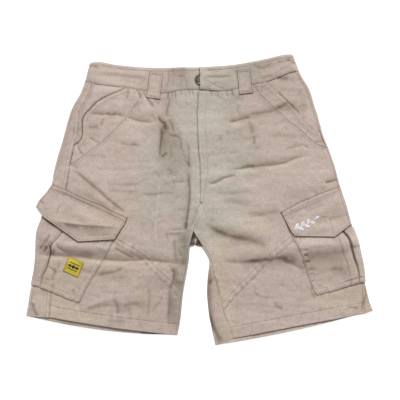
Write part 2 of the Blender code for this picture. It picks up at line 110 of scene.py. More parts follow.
def nearLine(line, x, y):
    # distance to a line, which side of it (+ is to its left) and the share of the way along
    best = np.full(x.shape, 1e12)
    side = np.zeros(x.shape)
    share = np.zeros(x.shape)
    count = len(line) - 1
    for i in range(count):
        ax, ay = line[i]
        dx, dy = line[i + 1] - line[i]
        u = np.clip(((x - ax) * dx + (y - ay) * dy) / (dx * dx + dy * dy + 1e-12), 0, 1)
        gap = (x - ax - u * dx) ** 2 + (y - ay - u * dy) ** 2
        closer = gap < best
        best = np.where(closer, gap, best)
        side = np.where(closer, dx * (y - ay) - dy * (x - ax), side)
        share = np.where(closer, (i + u) / count, share)
    return np.sqrt(best), side, share


def softNoise(x, y, size, seed):
    lattice = np.random.RandomState(seed).uniform(-1, 1, (256, 256))
    gx, gy = x / size + 1000, y / size + 1000
    ix, iy = np.floor(gx).astype(int), np.floor(gy).astype(int)
    fx, fy = ease(gx - ix), ease(gy - iy)
    low = lattice[iy % 256, ix % 256] * (1 - fx) + lattice[iy % 256, (ix + 1) % 256] * fx
    high = lattice[(iy + 1) % 256, ix % 256] * (1 - fx) + lattice[(iy + 1) % 256, (ix + 1) % 256] * fx
    return low * (1 - fy) + high * fy


# the waistband from right to left: x and y on its seam, x and y on its top edge
bandRows = np.array([
    (-217, 227, -209, 259), (-203, 222, -200, 262), (-187, 219, -184, 261.5), (-160, 215.5, -160, 257),
    (-123, 211, -123, 253), (-98, 206, -98, 251.5), (-74, 202.5, -74, 251), (-55, 204.5, -54, 251.3),
    (-35, 208.5, -35, 252), (0, 209.3, 0, 252), (42, 207, 42, 254.5), (67, 210, 70, 257.5),
    (103, 219.5, 103, 263.5), (128, 224.6, 128, 268.5), (157, 236, 156, 275), (174, 243, 173, 276.5),
    (189, 245, 178, 274)], float)
bandBottom = smoothLine(bandRows[:, :2], 400)
bandTop = smoothLine(bandRows[:, 2:], 400)
centreFront = smoothLine([(-1, 209), (-3, 185), (-3.5, 160), (-2, 110), (0, 75), (2, 40), (2, 10), (0, -8),
                          (-7, -35), (-12, -59)])
centreBack = smoothLine([(0, 209), (0, 110), (0, 20), (-4, -45), (-9, -87)])

halves = {
    "right": dict(
        side=-1,
        outline=[(-217, 227), (-225, 205), (-236, 186), (-243, 173), (-250, 152), (-260, 115), (-270, 82),
                 (-277, 54), (-281, 31), (-289, 4), (-299, -32), (-307, -54), (-310, -70), (-311, -102),
                 (-313, -126), (-317, -149), (-322, -174), (-326, -198), (-330, -221)],
        strip=[(230, 16), (169, 17), (140, 24), (96, 26), (50, 29), (-90, 36), (-177, 41), (-221, 45)],
        rowRise=(4, 2),
        inner=[(-9, -87), (-18, -90), (-20, -112), (-24, -137), (-31, -176), (-36.5, -227), (-42, -257)],
        inseamStrip=[(-87, 3.5), (-97, 4), (-257, 4)],
        mouth=[(-140, 213), (-152, 207.5), (-168, 201), (-184, 193), (-197, 184.5), (-208, 172.5),
               (-217, 163), (-221.5, 154), (-222, 140), (-222, 126), (-226, 114), (-237, 104)],
        band=[(-104, 206), (-118, 186), (-132, 167), (-155, 140), (-180, 116), (-191, 106), (-208, 94),
              (-221, 84), (-245, 68)],
        kneeSeam=[(-260, -6), (-205, -48), (-163, -82), (-129, -102), (-109, -116), (-88, -138), (-62, -161),
                  (-36, -188)],
        hemSag=-2.5,
        cuffRise=0,
        mouthShade=2.4,
        bandDepth=0.45,     # how much of the pocket band's relief shows
        slack=8.5,          # how far the back's hem hangs below its corners
        lipLift=2,          # and how far it stands up where the front doesn't cover it
    ),
    "left": dict(
        side=1,
        outline=[(189, 245), (197, 230), (206, 216), (212, 202), (218, 181), (225, 160), (235, 124),
                 (243, 104), (256, 68), (263, 42), (269, 22), (280, -11), (289, -45), (301, -78), (304, -92),
                 (311, -124), (314, -153), (317, -168), (323, -192), (330, -211)],
        strip=[(250, 4), (-110, 4), (-155, 5), (-176, 9), (-213, 16)],
        rowRise=(1, 5),
        inner=[(-9, -87), (2, -89), (13, -104), (18.5, -118), (16, -142), (14, -171), (15, -190), (18, -218),
               (22, -238), (30, -275.7)],
        inseamStrip=[(-87, 6.5), (-97, 4.5), (-118, 4.5), (-145, 13), (-171, 22), (-190, 27), (-211, 28),
                     (-240, 31), (-275, 35)],
        mouth=[(126, 226), (144, 209), (163, 191), (187, 167), (202, 147), (214, 137), (228, 127)],
        band=[(102, 218), (119, 197), (148, 170), (169, 150), (191, 134), (218, 109), (240, 100)],
        kneeSeam=[(271, 0), (224, -36), (172, -84), (137, -114), (110, -141), (84, -168), (64, -189),
                  (47, -209)],
        hemSag=0.6,
        cuffRise=13,        # how far the front's hem starts above the inner corner
        mouthShade=0.6,
        bandDepth=1,
        slack=4.8,
        lipLift=3.4,
    ),
}
for half in halves.values():
    side = half["side"]
    half["edge"] = smoothLine(half["outline"], 400)
    for key, table in (("stripAt", "strip"), ("leanAt", "inseamStrip")):
        half[key] = lambda y, table=np.array(sorted(half[table]), float).T: np.interp(y, *table)
    y = np.linspace(250, half["outline"][-1][1] - half["rowRise"][1], 400)
    half["seam"] = np.column_stack([atY(half["edge"], y) - side * half["stripAt"](y), y])
    half["corner"] = min(half["seam"], key=lambda spot: abs(spot[1] - atX(bandBottom, spot[0])))
    half["innerEdge"] = smoothLine(half["inner"], 300)
    y = np.linspace(half["inner"][0][1], half["inner"][-1][1], 300)
    half["cuffAt"] = lambda y, rise=half["cuffRise"]: rise * ease((-y - 205) / 70)
    x = atY(half["innerEdge"], y) + side * half["leanAt"](y)
    half["inseam"] = np.column_stack([x, y + half["cuffAt"](y)])
    for key in ("mouth", "band"):
        x = half[key][0][0]
        half[key][0] = (x, float(atX(bandBottom, x)))
        half[key + "Line"] = smoothLine(half[key])
    half["kneeLine"] = smoothLine(half["kneeSeam"])

heap = dict(
    stack=5,            # outer face of the front above the table, at its edges
    swell=1.9,          # how much it rises away from the edges
    swellRun=34,
    waistLift=1.5,      # both layers climb to meet the thicker waistband
    waistFrom=10,
    waistRun=34,
    lowest=3.4,
    wall=1.3,
    gap=0.3,            # between the edges of panels that are sewn together
    paintedShadeFrom=2.4,       # no painted shade below this height
)
halfGap = heap["gap"] / 2

# points from left to right or top to bottom, then the width on the left-hand side of that way, the width on
# the right-hand side, the height, the sharpness (1 a crease, 2 a soft wave) and how much painted shade it
# holds along the crease (below nought, painted light)
frontFolds = [
    # right leg: the long press fold across the thigh and what hangs on it
    ([(-311, -101), (-285, -105), (-255, -105.5), (-225, -107), (-195, -111), (-165, -114), (-135, -115),
      (-112, -113.5), (-98, -112), (-85, -115), (-62, -117.5), (-40, -121), (-22, -122)],
      8, 3.6, -2.7, 1.15, 0.75),
    ([(-311, -113), (-130, -127), (-26, -132)], 8, 16, 0.8, 2, 0),
    ([(-300, -84), (-225, -87), (-150, -95), (-60, -99)], 11, 9, 1.5, 1.8, 0),
    ([(-262, -97), (-232, -98), (-204, -100)], 6, 5, -0.5, 1.5, 0.45),
    ([(-164, -91), (-155, -95), (-124, -113)], 4, 3.4, -1.9, 1.1, 0.5),
    # right leg: the diagonal crease above the flap
    ([(-242, 54), (-232, 52), (-224, 45.5), (-205, 28.5), (-187, 14), (-172, 0), (-138, -26)],
      2.4, 9, -2.5, 1.05, 0.7),
    ([(-226, 58), (-200, 36), (-172, 10)], 9, 4, 0.5, 1.8, 0),
    ([(-222, 26), (-196, 4), (-176, -8)], 9, 8, 0.5, 2, 0.32),
    # right leg: below the pocket's mouth
    ([(-212, 163), (-195, 164), (-185, 162.5), (-176, 164), (-168, 162), (-158, 163), (-147, 160),
      (-138, 158)], 5, 3.1, -2, 1.05, 0.7),
    ([(-172, 157), (-149, 181)], 3, 3, 0.8, 1.2, 0),
    ([(-177, 166), (-168, 161), (-160, 167)], 3, 3.9, -0.9, 1.1, 0.63),
    ([(-137, 157), (-115, 150), (-100, 148), (-88, 148)], 8, 3.6, -2.3, 1.05, 0.6),
    ([(-140, 147), (-115, 140), (-92, 138)], 6, 9, 0.7, 2, 0),
    ([(-182, 156), (-184, 149), (-188, 141)], 2.4, 2.9, -1, 1.2, 0.45),
    ([(-212, 140), (-203, 138), (-192, 141)], 4, 3.9, -0.8, 1.3, 0.36),
    ([(-152, 107), (-126, 104), (-110, 104)], 6, 4.5, -1.2, 1.2, 0.5),
    ([(-131, 105), (-125, 104.5), (-119, 105)], 3, 3.2, -0.5, 1.3, 0.45),
    ([(-231, 112), (-231, 102), (-228, 94), (-222, 85)], 2.6, 3.1, -1.7, 1.1, 0.8),
    ([(-209, 120), (-203, 115), (-196, 110.5), (-188, 110)], 2.6, 3.1, -1, 1.2, 0.45),
    ([(-241, 67), (-230, 60)], 2.8, 3.2, -0.7, 1.2, 0.36),
    ([(-231, 148), (-231, 130), (-229, 110)], 2.4, 2.9, -0.7, 1.2, 0.32),
    ([(-238, 148), (-240, 100), (-242, 84), (-247, 61)], 2.6, 2.9, -1, 1.2, 0.45),
    ([(-247, 60), (-250, 42), (-253, 26), (-250, 15)], 2.4, 3.1, -0.9, 1.2, 0.45),
    # right leg: gathers under the waistband
    ([(-136, 214), (-134, 203), (-140, 190)], 3, 3.9, -1.2, 1.2, 0.36),
    ([(-121, 212), (-114, 200), (-112, 190)], 2.9, 3.4, -1.9, 1.15, 0.55),
    ([(-116, 207), (-109, 197), (-106, 187)], 3, 3, 0.8, 1.4, 0),
    ([(-107, 206), (-100, 191), (-95, 186), (-87, 174)], 3, 4.2, -2.1, 1.1, 0.65),
    ([(-99, 201), (-93, 190), (-82, 177)], 3, 3, 0.8, 1.4, 0),
    ([(-87, 188), (-81, 185), (-75, 183)], 2.8, 3.9, -0.9, 1.2, 0.36),
    ([(-91, 165), (-86, 155), (-84, 146)], 3, 3.9, -1, 1.2, 0.41),
    ([(-80, 160), (-75, 152), (-71, 148), (-66, 146), (-65, 140), (-65, 133)], 2.2, 2.6, -1.8, 1.1, 1.3),
    ([(-150, 200), (-154, 190), (-160, 178)], 5, 5, 0.6, 1.6, 0),
    ([(-58, 205), (-58, 185), (-61, 172), (-62, 156)], 2.4, 3, -1.2, 1.3, 0.7),
    ([(-77, 137), (-72, 130), (-73, 112), (-75, 98), (-76, 79)], 1.8, 2.2, -0.9, 1.3, 0.8),
    ([(-60, 153), (-55, 148), (-52, 142), (-48, 128)], 2.2, 2.4, -0.8, 1.3, 0.65),
    ([(-46, 137), (-40, 133), (-37, 126), (-34, 120)], 1.8, 2, -0.5, 1.4, 0.35),
    ([(-52, 205), (-53, 188), (-52, 172)], 3, 3, -0.4, 1.4, 0.15),
    ([(-73, 81), (-60, 90)], 2.2, 1.8, -0.7, 1.3, 0.7),
    ([(-54, 106), (-54, 78)], 2, 2, -0.5, 1.3, 0.4),
    ([(-60, 123), (-50, 123), (-43, 121), (-37, 116), (-35, 108), (-35, 100), (-32, 92), (-28, 88)],
      2.2, 2.2, -0.8, 1.3, 0.6),
    ([(-33, 88), (-28, 84), (-24, 79)], 1.8, 1.8, -0.5, 1.3, 0.5),
    ([(-31, 78), (-25, 73), (-15, 61)], 2, 2, -0.5, 1.3, 0.5),
    ([(-27, 109), (-21, 101), (-20.5, 90), (-20.5, 72), (-19, 56)], 1.8, 2, -0.7, 1.3, 0.6),
    ([(-61, 61), (-56, 56), (-51, 50)], 2.2, 2.2, -0.5, 1.3, 0.45),
    ([(-44, 204), (-46, 192), (-43, 180)], 3, 3.9, -0.7, 1.3, 0.27),
    ([(-24, 205), (-27, 190), (-22, 176)], 3, 3.9, -0.6, 1.3, 0.27),
    # right leg: beside the centre seam, down to the crotch
    ([(-20, 54), (-20, 34), (-18.5, 20), (-19, 0), (-21, -18), (-27, -60)], 2, 3.4, -2, 1.15, 1.25),
    ([(-16, 104), (-13, 60), (-13, 10), (-15, -40)], 4, 3, 0.6, 1.6, 0),
    ([(-61, -61), (-42, -60.5), (-30, -58.5), (-18, -53)], 2.2, 2.2, 1.1, 1.2, 0),
    ([(-58, -56), (-46, -56.5), (-32, -54)], 2.9, 3.1, -0.7, 1.2, 0.45),
    ([(-59, -65), (-46, -65), (-34, -63)], 2.9, 3.4, -0.7, 1.2, 0.41),
    ([(-63, -62), (-61, -74), (-57, -82)], 2.6, 3.1, -0.9, 1.2, 0.36),
    ([(-49, -74), (-45, -110), (-42, -122)], 3.2, 4.2, -1.2, 1.15, 0.63),
    ([(-40, -92), (-35, -108)], 3, 3.9, -0.7, 1.3, 0.36),
    ([(-78, 42), (-78.5, 0), (-81, -22), (-84, -60), (-80, -90)], 2, 2, 0.8, 1.3, -0.3),
    ([(-4, -10), (-8, -30), (-18, -54)], 2.5, 3, -1.1, 1.2, 0.54),
    ([(1, -26), (-3, -43), (-8, -57)], 2.2, 2.6, -0.7, 1.2, 0.36),
    ([(-1, -12), (-5, -33), (-12, -50)], 1.8, 1.8, 0.5, 1.3, 0),
    ([(-54, 34), (-40, 34.5), (-27, 34)], 4, 3.4, -1, 1.15, 0.45),
    ([(-112, 12), (-92, 10), (-80, 11), (-70, 13), (-56, 13), (-46, 14)], 3.5, 3.4, -1, 1.15, 0.45),
    ([(-168, 30), (-140, 29), (-110, 31)], 4, 3.9, -0.7, 1.2, 0.23),
    ([(-178, 17), (-114, 15)], 4, 3.9, -0.7, 1.2, 0.23),
    ([(-202, 58), (-160, 57), (-118, 59)], 4, 4, -0.5, 1.4, 0.14),
    ([(-213, 84), (-196, 84), (-178, 82)], 4, 4.5, -0.7, 1.3, 0.23),
    ([(-60, 51), (-50, 48), (-40, 48)], 3, 3.9, -0.6, 1.2, 0.27),
    ([(-88, 54), (-80, 50), (-76, 43)], 3, 3.9, -0.7, 1.2, 0.27),
    ([(-100, -30), (-110, -45), (-108, -70)], 12, 10, -0.6, 1.8, 0),
    # right leg: knee to hem
    ([(-57, -121), (-54, -130), (-50, -138)], 2.6, 3.9, -1, 1.1, 0.54),
    ([(-50, -120), (-50, -150), (-57, -172), (-58, -200), (-60, -218), (-59, -240)], 8, 2.9, -1.7, 1.1, 0.75),
    ([(-98, -163), (-95, -184), (-97, -205), (-97, -223)], 2.4, 2.9, -0.8, 1.2, 0.36),
    ([(-88, -213), (-82, -200), (-76, -194), (-72, -183)], 3, 3.9, -0.7, 1.3, 0.27),
    ([(-198, -142), (-180, -140.5), (-162, -137), (-142, -130)], 8, 3.6, -1.8, 1.1, 0.5),
    ([(-224, -206), (-205, -200), (-180, -190.5), (-163, -188.5)], 8, 4, 1.2, 1.15, 0),
    ([(-216, -208), (-195, -202), (-170, -199)], 4, 6, -0.8, 1.4, 0.45),
    ([(-164, -187), (-157, -198), (-155, -208), (-156, -219)], 3, 3.9, -1.2, 1.1, 0.54),
    ([(-147, -198), (-136, -192), (-124, -190), (-110, -192)], 8, 4, 0.9, 1.2, 0),
    ([(-146, -202), (-130, -198), (-112, -198)], 4, 6, -0.7, 1.4, 0.32),
    ([(-324, -196), (-317, -199), (-315, -207), (-312, -214), (-306, -222)], 2.6, 3.6, -1.9, 1.1, 0.8),
    ([(-134, -203), (-132, -220), (-131, -238)], 2.3, 2.7, -0.5, 1.2, 0.18),
    ([(-283, -198), (-285, -222)], 2.3, 2.7, -0.6, 1.2, 0.23),
    ([(-299, -201), (-280, -200), (-263, -207)], 2.8, 3.2, -0.7, 1.2, 0.18),
    ([(-190, -168), (-174, -176), (-150, -178)], 7, 7, -0.4, 1.7, 0.14),
    # left leg: the thigh
    ([(24, -40), (104, -62)], 14, 10, 1.2, 1.6, 0),
    ([(10, -45), (41, -62), (67, -71), (93, -75.5), (130, -88)], 12, 6, -1.2, 1.5, 0.8),
    ([(40, -95), (80, -98), (160, -92)], 12, 10, 1.3, 1.8, -0.1),
    ([(44, -116), (80, -117.5), (105, -116), (156, -111)], 5.5, 5, -1.2, 1.6, 0.75),
    ([(96, -115), (106, -115.5), (116, -115)], 3.5, 3.5, -0.4, 1.5, 0.5),
    ([(143, -109), (156, -110), (168, -112)], 4, 4, -0.5, 1.5, 0.8),
    ([(148, -108), (171, -103), (192, -107)], 6, 7, -0.5, 1.5, 0.5),
    ([(120, -111), (134, -113)], 2.6, 2.6, -0.5, 1.3, 0.5),
    ([(158, -116), (176, -121), (200, -134)], 6, 3, -1.1, 1.3, 0.65),
    ([(186, -87), (262, -82), (304, -74)], 13, 13, 2, 1.7, -0.1),
    ([(190, -106), (268, -101), (288, -97)], 7, 14, -0.8, 1.5, 0.6),
    ([(283, -91), (296, -89), (307, -88)], 3, 5, -1.1, 1.3, 0.8),
    ([(15, 31.5), (25, 32), (36, 36), (46, 42), (70, 48)], 4, 3.1, -2.1, 1.05, 0.8),
    ([(20, 23), (45, 31), (72, 38)], 5, 8, 0.6, 1.8, 0),
    ([(60, 57), (80, 60), (95, 63), (105, 63.5), (118, 66), (130, 66), (160, 70), (184, 80), (209, 84)],
      8.5, 3.6, -2.9, 1, 0.7),
    ([(70, 48), (110, 54), (160, 60), (202, 72)], 7, 14, 0.7, 2, 0),
    ([(78, 61), (92, 64.5), (106, 65.5)], 3, 3.1, -0.6, 1.2, 0.72),
    ([(55, 148), (66, 149.5), (86, 155), (97, 156)], 6, 3.4, -2.3, 1.05, 0.75),
    ([(60, 138), (80, 141), (100, 146)], 5, 7, 0.5, 1.8, 0),
    ([(89, 146), (97, 143), (98, 132), (98, 123)], 4, 4, -1, 1.3, 0.41),
    ([(104, 122), (104, 104)], 2.3, 2.7, -0.9, 1.1, 0.36),
    ([(93, 162), (115, 165), (135, 168), (152, 176), (162, 186)], 7, 4.5, -1.8, 1.15, 0.45),
    ([(48, 127), (65, 125), (84, 124)], 6, 4.5, -0.9, 1.2, 0.32),
    ([(128, 119), (155, 121), (186, 117)], 8, 5, -0.8, 1.4, 0.32),
    ([(158, 95), (170, 98), (182, 100), (195, 105), (203, 101), (214, 94)], 5, 3.4, -1.2, 1.1, 0.45),
    ([(183, 112), (180, 102)], 4, 4, -0.6, 1.4, 0.27),
    ([(238, 32.5), (250, 35), (264, 39)], 3.2, 2.1, -2.9, 1, 1.4),
    ([(218, 108.5), (230, 111), (242, 111.5)], 2.8, 3.2, -1.2, 1.1, 0.54),
    ([(221, 125), (226, 120), (227, 114)], 4, 4, -0.7, 1.3, 0.32),
    ([(161, 140), (164, 135), (168, 131)], 2.6, 3.1, -0.8, 1.1, 0.36),
    ([(75, 181), (72, 169), (78, 158)], 2.6, 3.1, -0.7, 1.2, 0.23),
    ([(118, 217), (116, 201)], 2.4, 2.9, -0.9, 1.1, 0.32),
    ([(107, 217), (110, 210), (113, 205)], 2.6, 3.1, -0.8, 1.2, 0.27),
    ([(56, 204), (70, 194), (84, 189)], 5, 5, -0.8, 1.5, 0.18),
    ([(28, 205), (33, 196), (45, 191)], 4, 5, -0.6, 1.5, 0.14),
    ([(144, 179), (152, 176), (160, 180), (168, 188)], 3.4, 3.9, -1.2, 1.2, 0.72),
    ([(146, 231), (158, 231), (170, 233)], 3.5, 4.5, -1.2, 1.2, 0.63),
    ([(186, 206), (208, 193)], 6, 6, -1.2, 1.4, 0.54),
    ([(193, 184), (203, 179), (209, 172)], 4, 4, -1.2, 1.3, 0.54),
    ([(22, 14), (55, 12), (100, 16)], 6, 5, -0.8, 1.5, 0.27),
    ([(38, 0), (75, -4), (102, -9)], 8, 7, -0.8, 1.7, 0.27),
    ([(92, -33), (140, -23), (153, -17)], 8, 6, -1.2, 1.5, 0.41),
    ([(13, 124), (13, 106)], 4, 4, -0.5, 1.4, 0.18),
    ([(40, 125), (40, 112)], 3.2, 4.2, -0.7, 1.3, 0.23),
    ([(30, 68), (30, 56)], 2.3, 2.7, -0.7, 1.2, 0.23),
    ([(16, 88), (44, 90), (72, 86)], 6, 5, -0.5, 1.5, 0.14),
    ([(204, 22), (224, 14), (240, 22)], 8, 5, -0.8, 1.4, 0.36),
    # left leg: knee to hem
    ([(31, -148), (36, -180), (37, -194)], 2.5, 3, -0.8, 1.2, 0.32),
    ([(17, -159), (30, -146)], 3, 3.9, -1.2, 1.2, 0.63),
    ([(17, -210), (24, -236), (32, -252), (42, -273)], 3, 5, -1.7, 1.2, 0.9),
    ([(46, -210), (49, -222), (54, -234)], 2.2, 2.6, -0.7, 1.2, 0.32),
    ([(102, -158), (106, -174), (111, -182), (124, -185), (138, -184)], 3, 3.9, -0.7, 1.3, 0.23),
    ([(142, -193), (149, -204), (160, -206)], 3.6, 4.2, -1, 1.3, 0.41),
    ([(209, -163), (216, -180), (219, -190)], 2.9, 3.4, -0.8, 1.2, 0.45),
    ([(280, -202.5), (290, -205), (303, -206.5)], 3, 3.1, -1.2, 1.1, 0.54),
    ([(256, -199), (261, -212), (264, -224)], 3, 3, 0.7, 1.2, 0),
    ([(313, -160), (316, -174), (314, -186), (310, -199), (308, -214)], 3, 2.7, -2, 1.1, 1),
    ([(60, -206), (100, -200), (130, -210)], 9, 9, -0.5, 1.8, 0.09),
    # the hems stand open in the middle
    ([(-292, -222), (-92, -250)], 26, 26, 1.2, 1.8, 0),
    ([(60, -270), (296, -217)], 26, 26, 1.2, 1.8, 0),
]


def smoothFolds(*tables):
    for table in tables:
        for row in table:
            row[0][:] = [tuple(p) for p in smoothLine(row[0], 14)]


def spots(*rows):
    # a value, its width to either side and its sharpness, then the line it follows, as rows of a fold table
    return [(line, width, width, 0, sharp, value) for value, width, sharp, *line in rows]


# puckers under the waist seam
for x, lean in ((-137, 1), (-125, 3), (-112, -1), (-60, -1), (-52, 1), (-46, 1), (-35, 1), (-19, 1), (-13, 2),
                (22, 2), (36, -1), (52, 1), (62, 1)):
    y = float(atX(bandBottom, x))
    frontFolds.append(([(x - lean, y + 2), (x, y - 4), (x + lean, y - 13)], 1.4, 2.0, -0.8, 1.2, 0.75))
